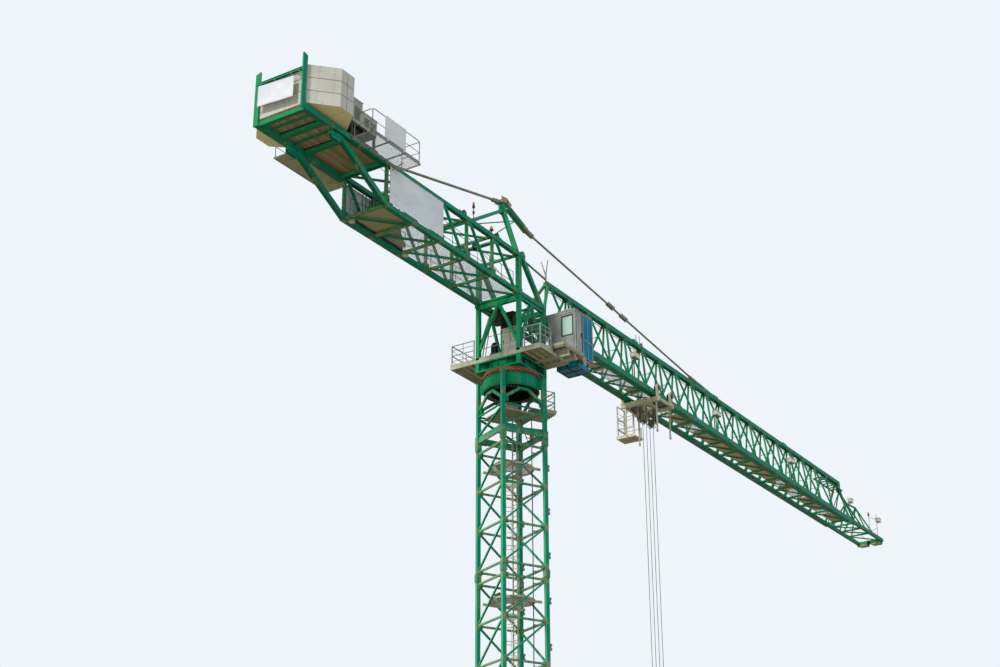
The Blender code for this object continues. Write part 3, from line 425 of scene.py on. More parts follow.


# Main, second and dirt tone; then the strength of run marks, roughness, rust and painted shade below
DIRTY_PAINTS = {
    "galvanised": ((150, 160, 152), (120, 132, 126), (86, 86, 70), 0.5, 0.5, 0.4),
    "ladder": ((186, 180, 152), (158, 154, 126), (108, 96, 66), 0.5, 0.55, 0.5),
    "slatting": ((150, 152, 134), (124, 128, 112), (92, 84, 60), 0.5, 0.6, 0.5),
    "cream": ((206, 200, 170), (186, 178, 146), (112, 98, 68), 0.6, 0.55, 0.6),
    "slew_deck": ((196, 194, 172), (170, 168, 142), (104, 94, 62), 0.6, 0.55, 0.5, 0.95),
    "trolley_cream": ((206, 200, 170), (186, 178, 146), (112, 98, 68), 0.6, 0.55, 0.6),
    "hoop_white": ((226, 222, 208), (208, 202, 184), (150, 138, 110), 0.4, 0.5, 0.3, 0.1),
    "platform_grey": ((190, 188, 168), (160, 158, 134), (96, 86, 58), 0.65, 0.55, 0.6, 0.95),
    "cabinet_grey": ((188, 186, 166), (166, 164, 144), (116, 106, 84), 0.4, 0.45, 0.3),
    "cab_grey": ((172, 174, 166), (150, 154, 148), (108, 104, 90), 0.45, 0.4, 0.3),
    "white": ((222, 218, 206), (204, 198, 182), (140, 126, 100), 0.5, 0.5, 0.5, 0.88),
    "grating": ((168, 174, 178), (146, 152, 156), (104, 100, 88), 0.4, 0.5, 0.3),
    "platform_tan": ((184, 166, 132), (158, 140, 106), (108, 88, 58), 0.6, 0.7, 0.5, 0.8),
    "panel_tan": ((178, 152, 118), (150, 124, 88), (110, 84, 54), 0.6, 0.7, 0.6, 0.35),
    "rusty_tan": ((186, 162, 120), (150, 118, 74), (112, 70, 38), 0.7, 0.7, 0.7),
}

# Lower and upper height, reach from the middle plane, tone and strength
BANDS = {
    "slew_deck": ((32.42, 34.0, 9.0, (146, 158, 142), 0.9),),
    # The trolley's dark band is painted shade inside its frame
    "trolley_cream": ((33.3, 34.5, 0.55, (58, 56, 40), 0.75),),
}


def make_materials():
    made = {}
    for name, tones in DIRTY_PAINTS.items():
        made[name] = dirty_paint(name, *tones, bands=BANDS.get(name, ()))
    made.update({
        # The mast's pale faded tone is partly painted sunlight on its sun side
        "mast_green": green_paint("mast_green", 2, BASE_TOP, SECTION, (0.0, *BRACE_RISES), (164, 150, 98),
                                  faded_sunlit_tone=(96, 196, 152)),
        # The drum's near-black under tone is painted shade below and inside it
        "drum_green": green_paint("drum_green", under=(12, 22, 14), hollow=1.34),
        "jib_green": green_paint("jib_green", 0, JIB_FIRST, JIB_BAY),
        "truss_green": green_paint("truss_green", 0, -11.8, 2.05, rust_tone=(140, 120, 66)),
        "plain_green": green_paint("plain_green"),
        "concrete": concrete(),
        "deck": deck_boards("deck_boards"),
        "walkway": deck_boards("walkway_boards", 1),
        "tie": tie_bar(),
        "dark": dark_steel(),
        "orange": orange_primer(),
        "glass": blue_glass("blue_glass", (0, 124, 158), (0, 158, 186)),
        # The rear window's pale tones are a painted reflection
        "pale_glass_painted_reflection": blue_glass("pale_glass_painted_reflection", (140, 186, 160), (190, 220, 206)),
        "rope": rope_steel(),
        "sign": sign_cloth(),
        "rubber": plain("rubber", (34, 34, 36), (52, 50, 48), 0.6),
        "red_lens": lens("red_lens", (186, 40, 44)),
        "amber_lens": lens("amber_lens", (236, 140, 24)),
        "lamp_glass": lens("lamp_glass", (214, 206, 170)),
    })
    return made


NODE_MATERIALS = {
    "base_cross": "mast_green", "mast_side": "mast_green", "head_side": "mast_green",
    "collector_drum": "drum_green", "mast_ladder": "galvanised", "head_platform": "platform_grey",
    "cable_pot": "cabinet_grey", "slew_ring": "orange", "turntable": "plain_green",
    "slewing_platform": "slew_deck", "tower": "plain_green", "electric_cabinet": "cabinet_grey",
    "cab_shell": "cab_grey", "cab_glass": "glass", "cab_rear_window": "pale_glass_painted_reflection",
    "cab_tray": "platform_grey",
    "counter": "truss_green", "platform_frame": "truss_green", "platform_deck": "deck",
    "platform_strut": "truss_green", "ballast_stop_frame": "plain_green", "ballast": "concrete",
    "hoist_winch": "dark", "hoist_cabinet": "cabinet_grey", "catwalk": "galvanised",
    "apex_frame": "plain_green", "rear_tie": "tie", "front_pendant": "tie", "jib": "jib_green",
    "jib_walkway": "walkway", "trolley_frame": "trolley_cream", "basket": "white", "hoist_ropes": "rope",
    "hook_block": "cream", "hook": "dark",
}


def paint_nodes(materials):
    for name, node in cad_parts.items():
        # A more exact entry wins over a shorter one
        found = [key for key in NODE_MATERIALS if name.startswith(key)]
        chosen = materials[NODE_MATERIALS[max(found, key=len)]]
        for slot in node.material_slots:
            slot.material = chosen


def make_studio():
    world = bpy.data.worlds.new("world")
    bpy.context.scene.world = world
    world.use_nodes = True
    tree = world.node_tree
    background = tree.nodes["Background"]
    background.inputs["Color"].default_value = (0.74, 0.86, 1.0, 1.0)
    background.inputs["Strength"].default_value = 0.58
    shown = tree.nodes.new("ShaderNodeBackground")
    shown.inputs["Color"].default_value = (0.86, 0.91, 0.96, 1.0)
    shown.inputs["Strength"].default_value = 1.0
    path = tree.nodes.new("ShaderNodeLightPath")
    seen = path.outputs["Is Camera Ray"]
    for ray in ("Is Glossy Ray", "Is Transmission Ray"):
        either = tree.nodes.new("ShaderNodeMath")
        either.operation = "MAXIMUM"
        tree.links.new(seen, either.inputs[0])
        tree.links.new(path.outputs[ray], either.inputs[1])
        seen = either.outputs["Value"]
    blend = tree.nodes.new("ShaderNodeMixShader")
    tree.links.new(seen, blend.inputs[0])
    tree.links.new(background.outputs[0], blend.inputs[1])
    tree.links.new(shown.outputs[0], blend.inputs[2])
    tree.links.new(blend.outputs[0], tree.nodes["World Output"].inputs["Surface"])
    lamp = bpy.data.lights.new("sun", "SUN")
    lamp.energy = 2.0
    lamp.angle = math.radians(6)
    lamp.color = (1.0, 0.97, 0.92)
    sun = bpy.data.objects.new("sun", lamp)
    bpy.context.scene.collection.objects.link(sun)
    towards = Vector((-0.84, 0.10, 0.52))
    sun.rotation_euler = towards.to_track_quat("Z", "Y").to_euler()
    bm = bmesh.new()
    bmesh.ops.create_grid(bm, x_segments=1, y_segments=1, size=150.0)
    mesh = bpy.data.meshes.new("floor")
    bm.to_mesh(mesh)
    floor = bpy.data.objects.new("floor", mesh)
    bpy.context.scene.collection.objects.link(floor)
    g = Graph("floor", roughness=0.9)
    g.colour(g.mix(g.ramp(g.noise(0.4, 3.0), 0.3, 0.7), (226, 221, 206), (232, 227, 213)))
    mesh.materials.append(g.material)
    floor.location.z = -0.001


# Pieces are drawn in real metres and shrunk to the model's scale at the end

class Kit:
    """Collects closed shapes by piece name, material and body."""

    def __init__(self):
        self.meshes = {}

    def get(self, name, material, body="upper_works"):
        key = (name, material, body)
        if key not in self.meshes:
            self.meshes[key] = bmesh.new()
        return self.meshes[key]

    def mast(self, name, material):
        return self.get(name, material, "mast")

    def finish(self, bevels):
        made = {}
        turn = Matrix.Rotation(MAST_TURN, 4, "Z")
        for (name, material, body), bm in self.meshes.items():
            bmesh.ops.recalc_face_normals(bm, faces=bm.faces)
            if body == "mast":
                # Drawn in the mast's own frame
                bmesh.ops.transform(bm, matrix=turn, verts=bm.verts)
            item = make_object(name, bm, material)
            smooth_round(item.data)
            if name in bevels:
                modifier = item.modifiers.new("bevel", "BEVEL")
                modifier.width = bevels[name] * SCALE
                modifier.segments = 2
                modifier.limit_method = "ANGLE"
                modifier.angle_limit = math.radians(40)
            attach(item, body)
            made[name] = item
        return made


def make_object(name, bm, material):
    bmesh.ops.scale(bm, vec=(SCALE, SCALE, SCALE), verts=bm.verts)
    mesh = bpy.data.meshes.new(name)
    bm.to_mesh(mesh)
    bm.free()
    mesh.materials.append(MATERIALS[material])
    item = bpy.data.objects.new(name, mesh)
    bpy.context.scene.collection.objects.link(item)
    return item


def smooth_round(mesh):
    for face in mesh.polygons:
        face.use_smooth = True
    mesh.set_sharp_from_angle(angle=math.radians(38))


def put_box(bm, low, high):
    size = Vector(high) - Vector(low)
    middle = (Vector(high) + Vector(low)) / 2
    matrix = Matrix.Translation(middle) @ Matrix.Diagonal((*size, 1.0))
    bmesh.ops.create_cube(bm, size=1.0, matrix=matrix)


def put_block(bm, x, y, half_x, half_y, low, high):
    put_box(bm, (x - half_x, y - half_y, low), (x + half_x, y + half_y, high))


def put_plate(bm, corners, low, high):
    # A flat plate between two heights, its outline given by its corners
    rings = [[bm.verts.new((x, y, z)) for x, y in corners] for z in (low, high)]
    for index in range(len(corners)):
        bm.faces.new((rings[0][index - 1], rings[0][index], rings[1][index], rings[1][index - 1]))
    bm.faces.new(rings[0])
    bm.faces.new(rings[1])


def around(count, shift=0.0):
    # Unit vectors evenly round Z, the first turned by a share of one step
    angles = [2 * math.pi * (turn + shift) / count for turn in range(count)]
    return [Vector((math.cos(angle), math.sin(angle), 0)) for angle in angles]


def aim(start, end, side):
    # Turning matrix whose Z runs from start to end and whose X lies near side
    along = (Vector(end) - Vector(start)).normalized()
    across = Vector(side) - along * Vector(side).dot(along)
    if across.length < 1e-6:
        across = along.orthogonal()
    across.normalize()
    third = along.cross(across)
    return Matrix((across, third, along)).transposed().to_4x4()


def put_bar(bm, start, end, width, depth=None, side=(0, 1, 0)):
    start, end = Vector(start), Vector(end)
    depth = depth or width
    matrix = Matrix.Translation((start + end) / 2) @ aim(start, end, side)
    matrix = matrix @ Matrix.Diagonal((width, depth, (end - start).length, 1.0))
    bmesh.ops.create_cube(bm, size=1.0, matrix=matrix)


def put_rod(bm, start, end, radius, sides=8, end_radius=None):
    start, end = Vector(start), Vector(end)
    matrix = Matrix.Translation((start + end) / 2) @ aim(start, end, (0, 1, 0))
    bmesh.ops.create_cone(
        bm, cap_ends=True, segments=sides, radius1=radius,
        radius2=radius if end_radius is None else end_radius,
        depth=(end - start).length, matrix=matrix)


def put_post(bm, x, y, low, high, radius, sides=6):
    put_rod(bm, (x, y, low), (x, y, high), radius, sides)


def put_tube(bm, points, radius, sides=6):
    # A closed tube that follows the points, without twist
    points = [Vector(p) for p in points]
    rings = []
    across = None
    for index, point in enumerate(points):
        before = points[max(index - 1, 0)]
        after = points[min(index + 1, len(points) - 1)]
        along = (after - before).normalized()
        if across is None:
            across = along.orthogonal().normalized()
        across = (across - along * across.dot(along)).normalized()
        third = along.cross(across)
        places = [point + radius * (way.x * across + way.y * third) for way in around(sides)]
        rings.append([bm.verts.new(place) for place in places])
    for first, second in zip(rings, rings[1:]):
        for side in range(sides):
            bm.faces.new((first[side], first[side - 1], second[side - 1], second[side]))
    bm.faces.new(rings[0])
    bm.faces.new(list(reversed(rings[-1])))


def put_ring(bm, centre, axis, radius, thick, sides=20, section=5, arc=1.0):
    # A round bar bent to a circle, or to a share of one
    turned = aim((0, 0, 0), axis, (1, 0, 0) if abs(axis[0]) < 0.9 else (0, 1, 0))
    count = max(3, int(sides * arc))
    points = []
    for step in range(count + 1):
        angle = 2 * math.pi * arc * step / count
        way = Vector((math.cos(angle), math.sin(angle), 0))
        points.append(Vector(centre) + turned @ way * radius)
    put_tube(bm, points, thick, section)


def put_bolt(bm, place, axis, size=0.03):
    # Washer, hexagon head and rounded end, along axis
    place, axis = Vector(place), Vector(axis).normalized()
    put_rod(bm, place - axis * size * 0.1, place + axis * size * 0.25, size * 1.15, 10)
    put_rod(bm, place, place + axis * size * 0.85, size * 0.85, 6)
    put_rod(bm, place + axis * size * 0.8, place + axis * size * 1.15, size * 0.45, 8, size * 0.3)


def put_sheave(bm, centre, radius, width=0.06, sides=24):
    # A pulley across the crane: two flanges, a groove between them, a hub and a pin
    centre = Vector(centre)
    half = ACROSS * width / 2
    put_rod(bm, centre - half, centre - half * 0.45, radius, sides, radius * 0.9)
    put_rod(bm, centre - half * 0.6, centre + half * 0.6, radius * 0.87, sides)
    put_rod(bm, centre + half * 0.45, centre + half, radius * 0.9, sides, radius)
    put_rod(bm, centre - half * 1.5, centre + half * 1.5, radius * 0.28, 12)
    put_bolt(bm, centre - half * 1.5, -ACROSS, radius * 0.12)


def put_grating(bm, low, high, step, bar, height):
    # Open floor grating: bars along X and, three steps apart, thinner ones across them
    (x0, y0, z), (x1, y1) = low, high
    count = int((y1 - y0) / step)
    for index in range(count + 1):
        y = y0 + index * (y1 - y0) / count
        put_box(bm, (x0, y - bar / 2, z), (x1, y + bar / 2, z + height))
    count = max(int((x1 - x0) / (step * 3)), 1)
    for index in range(count + 1):
        x = x0 + index * (x1 - x0) / count
        put_box(bm, (x - bar / 2, y0, z + height * 0.55), (x + bar / 2, y1, z + height * 1.05))


def rail_bars(bm, points, floor, levels, radius):
    for (xa, ya), (xb, yb) in zip(points, points[1:]):
        for level in levels:
            put_rod(bm, (xa, ya, floor + level), (xb, yb, floor + level), radius, 6)


# Mast

def brace_levels():
    return [BASE_TOP + SECTION * joint + rise for joint in range(SECTIONS) for rise in BRACE_RISES]


def mast_details(kit):
    green = kit.mast("mast_fittings", "mast_green")
    lugs = kit.mast("climbing_lugs", "galvanised")
    steel = kit.mast("mast_bolts", "galvanised")
    edge = MAST_HALF
    for joint in range(SECTIONS + 1):
        level = BASE_TOP + SECTION * joint
        for x, y in CORNERS:
            # Fishplates over the joint of the leg, with their pins
            for way in (Vector((x, 0, 0)), Vector((0, y, 0))):
                face = Vector((x * edge, y * edge, level)) + way * 0.125
                cross = UP.cross(way)
                put_bar(green, face - UP * 0.2, face + UP * 0.2, 0.12, 0.02, side=cross)
                for lift in (-0.13, -0.06, 0.06, 0.13):
                    for shift in (-0.035, 0.035):
                        put_bolt(steel, face + UP * lift + cross * shift + way * 0.01, way, 0.016)
        for z in (level - 1.24, level + 0.88, level + 3.0):
            if 1.2 < z < 28.0:
                # Climbing lugs down one side of the mast, on both its legs
                for y in (-edge, edge):
                    put_block(lugs, edge + 0.15, y, 0.07, 0.04, z + 0.04, z + 0.15)
                    put_block(lugs, edge + 0.15, y, 0.07, 0.04, z - 0.15, z - 0.04)
                    put_post(lugs, edge + 0.15, y, z - 0.15, z + 0.15, 0.045, 10)
    for height in brace_levels():
        for turn in range(4):
            # Gussets that join the bracing to the legs
            spin = Matrix.Rotation(math.pi / 2 * turn, 4, "Z")
            for x in (-1, 1):
                a, b = (spin @ Vector((x * (edge - run), -edge, height)) for run in (0.27, 0.06))
                put_bar(green, a, b, 0.014, 0.2, side=spin @ Vector((0, 1, 0)))
    ladder_details(kit)
    head_details(kit)
    base_details(kit)


def cut_runs(middle, half, low, high, inside):
    # A bar through a round floor, in two lengths where it would cross the hatch
    runs = [(middle - half, low), (high, middle + half)] if inside else [(middle - half, middle + half)]
    return [run for run in runs if run[1] - run[0] > 0.05]


def put_disc_grating(bm, z, radius, hatch, step=0.085):
    # Round open floor with a square hatch: bars cut to the circle and to the hatch
    low_x, high_x, low_y, high_y = hatch
    count = int(radius / step)
    for index in range(-count, count + 1):
        place = index * step
        half = math.sqrt(max(radius ** 2 - place ** 2, 0.0))
        for start, end in cut_runs(0, half, low_x, high_x, low_y < place < high_y):
            put_box(bm, (start, place - 0.011, z), (end, place + 0.011, z + 0.016))
        if index % 2 == 0:
            for start, end in cut_runs(0, half, low_y, high_y, low_x < place < high_x):
                put_box(bm, (place - 0.01, start, z + 0.004), (place + 0.01, end, z + 0.02))


def ladder_details(kit):
    ladder = kit.mast("ladder_and_landings", "ladder")
    hoops = kit.mast("ladder_hoops", "hoop_white")
    slats = kit.mast("landing_slats", "slatting")
    # Stringers and rungs, then the cage and a landing in every section
    x, y = 0.55, 0.62
    low, high = 0.45, 30.4
    for side in (-0.2, 0.2):
        put_block(ladder, x, y + side, 0.025, 0.025, low, high)
    count = int((high - low - 0.4) / 0.28)
    for step in range(count + 1):
        z = low + 0.2 + step * (high - low - 0.4) / count
        put_rod(ladder, (x, y - 0.2, z), (x, y + 0.2, z), 0.015, 6)
    cage = Vector((x - 0.36, y, 0))
    for joint in range(SECTIONS):
        deck = BASE_TOP + SECTION * joint + LANDING_RISE
        levels = [deck - drop for drop in (0.62, 0.95, 1.75, 2.37, 2.99, 3.61, 4.23)]
        for z in levels:
            put_ring(hoops, cage + UP * z, UP, 0.34, 0.02, 22)
        for lift in (0.0, 0.03, 0.06, 0.09):
            put_ring(hoops, cage + UP * (deck - 0.55 + lift), UP, 0.35, 0.017, 24)
        for strap in range(5):
            angle = math.radians(100 + 40 * strap)
            way = Vector((math.cos(angle), math.sin(angle), 0))
            side = cage + way * 0.34
            put_bar(hoops, side + UP * levels[-1], side + UP * levels[0], 0.03, 0.006, side=UP.cross(way))
        # Landing: rim, open floor, hatch frame, lid and the bearers that carry it
        hatch = (-0.05, 0.51, 0.30, 0.94)
        put_disc_grating(slats, deck, 1.06, hatch)
        rim = [way * 1.06 + UP * (deck + 0.02) for way in around(24)]
        for start, end in zip(rim, rim[1:] + rim[:1]):
            put_bar(ladder, start, end, 0.02, 0.09, side=(start.x + end.x, start.y + end.y, 0))
        corners = [(hatch[i], hatch[j], deck + 0.01) for i, j in ((0, 2), (1, 2), (1, 3), (0, 3))]
        for start, end in zip(corners, corners[1:] + corners[:1]):
            put_bar(ladder, start, end, 0.03, 0.06, side=UP)
        for side in (-0.84, 0.84):
            put_block(ladder, 0, side, 1.06, 0.04, deck - 0.12, deck - 0.01)
        for side in (-0.45, 0.2):
            put_block(ladder, side, 0, 0.025, 0.9, deck - 0.07, deck - 0.005)
        put_bar(slats, (-0.08, 0.62, deck + 0.04), (-0.46, 0.62, deck + 0.48), 0.54, 0.015)
    supply_cable(kit)


def supply_cable(kit):
    # Clipped to the mast from the head's floor to a box on the base cross
    cable = kit.mast("supply_cable", "rubber")
    top, low = HEAD_FLOOR + 0.03, 1.6
    points = []
    for step in range(64):
        points.append((0.9 + 0.006 * math.sin(step * 0.9), -0.38, top - step * (top - low) / 63))
    points += [(0.87, -0.42, 1.35), (0.78, -0.53, 1.15), (0.7, -0.62, 1.0), (0.67, -0.65, 0.85)]
    put_tube(cable, points, 0.024, 8)
    for shift, swing in ((0.0, 0.5), (0.12, 0.75)):
        # Slack between the head and the top of the mast
        loop = []
        for step in range(15):
            share = step / 14
            dip = math.sin(math.pi * share)
            x, z = 0.3 + 0.6 * share + shift * dip, top - swing * dip - 0.9 * share
            loop.append((x, -0.3 - 0.08 * share, z))
        put_tube(cable, loop, 0.018, 6)
    clips = kit.mast("cable_clips", "galvanised")
    for z in brace_levels():
        put_bar(clips, (0.87, -0.38, z), (1.11, -0.38, z), 0.05, 0.02, side=UP)
    boxes = kit.mast("cable_boxes", "cabinet_grey")
    head_box = (0.83, -0.46, 28.48), (0.98, -0.3, 28.74)
    foot_box = (0.5, -0.81, 0.45 + GAP), (0.82, -0.5, 0.93)
    lip = 0.012
    for (x0, y0, z0), (x1, y1, z1) in (head_box, foot_box):
        put_box(boxes, (x0, y0, z0), (x1, y1, z1))
        put_box(boxes, (x0 - lip, y0 - lip, z1), (x1 + lip, y1 + lip, z1 + 0.02))
        for x in (x0 + 0.03, x1 - 0.03):
            put_bolt(clips, (x, y0, z1 - 0.05), (0, -1, 0), 0.012)


def head_details(kit):
    green = kit.mast("head_fittings", "plain_green")
    bolts = kit.mast("head_bolts", "galvanised")
    for x, y in CORNERS:
        # Cap and gusset plates at the corner post
        post = Vector((x * MAST_HALF, y * MAST_HALF, 0))
        put_block(green, post.x, post.y, 0.1, 0.1, 31.4, 31.415)
        outward = Vector((x, 0, 0)), Vector((0, y, 0))
        for inward, face in ((-outward[0], outward[1]), (-outward[1], outward[0])):
            start = post + UP * 28.5 + inward * 0.1
            put_bar(green, start, start + inward * 0.34, 0.016, 0.42, side=face)
            for lift in (-0.12, 0.0, 0.12):
                for run in (0.1, 0.22):
                    put_bolt(bolts, start + inward * run + face * 0.008 + UP * lift, face, 0.02)
            foot = post + UP * 29.95
            put_bar(green, foot + inward * 0.08, foot + inward * 0.3, 0.014, 0.26, side=face)
    for way in around(48):
        put_bolt(bolts, way * 1.06 + UP * 30.735, -UP, 0.028)
    for z in (30.80, 31.34):
        put_ring(green, (0, 0, z), UP, 1.355, 0.022, 64, 6)
    rails = kit.mast("head_rails", "galvanised")
    rail_bars(rails, ((1.4, -0.5), (2.15, -0.5), (2.15, 0.65), (1.4, 0.65)), WALK, (0.35, 0.88), 0.016)
    deck = kit.mast("head_grating", "platform_grey")
    put_box(deck, (1.3, -0.57, WALK), (2.21, -0.55, WALK + 0.12))
    put_box(deck, (1.3, 0.7, WALK), (2.21, 0.72, WALK + 0.12))
    put_box(deck, (2.2, -0.57, WALK), (2.22, 0.72, WALK + 0.12))
    for step in range(6):
        y = -0.4 + step * 0.2
        put_box(deck, (1.3, y - 0.02, WALK - 0.13), (2.18, y + 0.02, WALK - 0.07))
    pot = kit.mast("cable_pot_fittings", "galvanised")
    middle, low, high = Vector((-0.15, -0.15, 0)), UP * 29.62, UP * 29.98
    for lift in (low, high):
        put_ring(pot, middle + lift, UP, 0.383, 0.018, 28, 6)
    for way in around(8):
        side = middle + way * 0.385
        put_bar(pot, side + low, side + high, 0.03, 0.012, side=way.cross(UP))


def base_details(kit):
    # Ribs and anchor nuts at the ends of the cross beams
    green = kit.mast("base_fittings", "mast_green")
    bolts = kit.mast("base_bolts", "galvanised")
    for way in around(4, 0.5):
        cross = UP.cross(way)
        end = way * 2.98
        for side in (-1, 1):
            for run in (0.0, 0.55, 1.1):
                foot = end - way * run + cross * side * 0.215
                put_bar(green, foot + UP * 0.02, foot + UP * 0.43, 0.03, 0.02, side=way)
            for run in (0.05, 0.2):
                put_bolt(bolts, end + cross * side * 0.1 - way * run + UP * 0.45, UP, 0.04)


# Ring, turntable and slewing platform

def slew_details(kit):
    bolts = kit.get("turntable_bolts", "galvanised")
    green = kit.get("turntable_fittings", "plain_green")
    for way in around(60, 0.5):
        put_bolt(bolts, way * 1.27 + UP * 31.70, UP, 0.026)
    for way in around(16):
        put_bar(green, way * 1.12 + UP * 31.95, way * 1.21 + UP * 31.95, 0.02, 0.34, side=way.cross(UP))
    put_ring(green, (0, 0, 32.1), UP, 1.125, 0.02, 56, 6)
    slew_motors(kit, bolts)
    deck = kit.get("platform_edges", "platform_grey")
    rear, front, near, far = -1.2, 1.35, -2.45, 2.75
    low, kick = DECK + GAP, DECK + 0.1
    put_box(deck, (rear, near, low), (rear + 0.015, far, kick))
    put_box(deck, (rear, near, low), (-0.1, near + 0.015, kick))
    put_box(deck, (rear, far - 0.015, low), (front, far, kick))
    rails = kit.get("platform_rails", "galvanised")
    near_run = ((-1.15, -1.5), (-1.15, -2.4), (-0.2, -2.4))
    far_run = ((-1.15, 1.4), (-1.15, 2.7), (1.3, 2.7), (1.3, 1.4))
    for points in (near_run, far_run):
        rail_bars(rails, points, DECK, (0.3, 0.85), 0.014)
        for (xa, ya), (xb, yb) in zip(points, points[1:]):
            put_post(rails, (xa + xb) / 2, (ya + yb) / 2, DECK, DECK + 1.12, 0.016)
    rail_bars(rails, ((-1.15, -1.05), (-1.15, 1.05)), DECK, (0.55, 1.1), 0.018)
    under = kit.get("platform_ribs", "platform_grey")
    for y in (-2.1, -1.75, -1.4, 1.3, 1.7, 2.1, 2.45):
        put_box(under, (rear + 0.08, y - 0.02, DECK - 0.11), (front - 0.08, y + 0.02, DECK - 0.04))
    # Slip-ring housing and rope guides between the tower legs, dark steel blocks that also stand in for the
    # shade there
    dark = kit.get("tower_machinery", "dark")
    put_block(dark, 0, 0, 0.35, 0.35, 33.9, 34.95)
    put_box(dark, (-0.85, 0.05, 34.3), (-0.35, 0.6, 35.0))
    put_post(dark, 0, 0, 33.3, 33.9, 0.3, 20)
    put_post(dark, 0, 0, 32.8, 33.3, 0.22, 20)
    for way in around(12):
        put_bolt(bolts, way * 0.27 + UP * 33.3, -UP, 0.02)
    put_block(dark, 0, 0, 0.04, 1.05, 34.95, 35.05)
    put_box(dark, (-0.04, -0.3, 34.9), (0.04, -0.22, 35.0))
    face = kit.get("cabinet_doors", "cabinet_grey")
    for near, far in ((-0.93, -0.53), (-0.50, -0.10)):
        put_box(face, (-0.915, near, 32.5), (-0.9, far, 33.72))
        put_box(dark, (-0.93, far - 0.07, 33.05), (-0.915, far - 0.04, 33.2))
    leaning = kit.get("spare_bars", "ladder")
    put_bar(leaning, (-1.12, 0.95, 32.37), (-0.98, 0.62, 34.6), 0.05)
    put_bar(leaning, (-1.12, 0.78, 32.37), (-1.0, 0.5, 34.5), 0.035)
    # Cables that sag under the deck, both ends up in it
    cable = kit.get("deck_cables", "rubber")
    start, end = -0.3, 1.3
    for line in range(3):
        y = -1.05 - 0.05 * line
        points = [(start, y, DECK - 0.02), (start, y, DECK - 0.12)]
        for step in range(13):
            share = step / 12
            sag = 0.35 * math.sin(math.pi * share) * (0.5 + 0.2 * line)
            points.append((start + (end - start) * share, y, 32.17 - sag))
        points += [(end, y, DECK - 0.12), (end, y, DECK - 0.02)]
        put_tube(cable, points, 0.016, 6)


def slew_motors(kit, bolts):
    # The slewing gear motors stand on the deck between the tower legs
    motors = kit.get("slew_motors", "dark")
    caps = kit.get("slew_motor_caps", "plain_green")
    base = DECK + 0.01
    for x, y in ((-0.62, 0.55), (0.72, 0.62)):
        foot = Vector((x, y, base))
        put_post(caps, x, y, base, base + 0.3, 0.2, 20)
        put_post(caps, x, y, base + 0.3, base + 0.36, 0.24, 20)
        put_post(motors, x, y, base + 0.36, base + 0.85, 0.15, 20)
        put_rod(motors, foot + UP * 0.85, foot + UP * 0.95, 0.16, 20, 0.1)
        for way in around(8):
            put_bolt(bolts, foot + way * 0.21 + UP * 0.36, UP, 0.018)
        for way in around(16):
            fin = foot + way * 0.165
            put_bar(motors, fin + UP * 0.4, fin + UP * 0.8, 0.012, 0.035, side=way.cross(UP))


# Cab

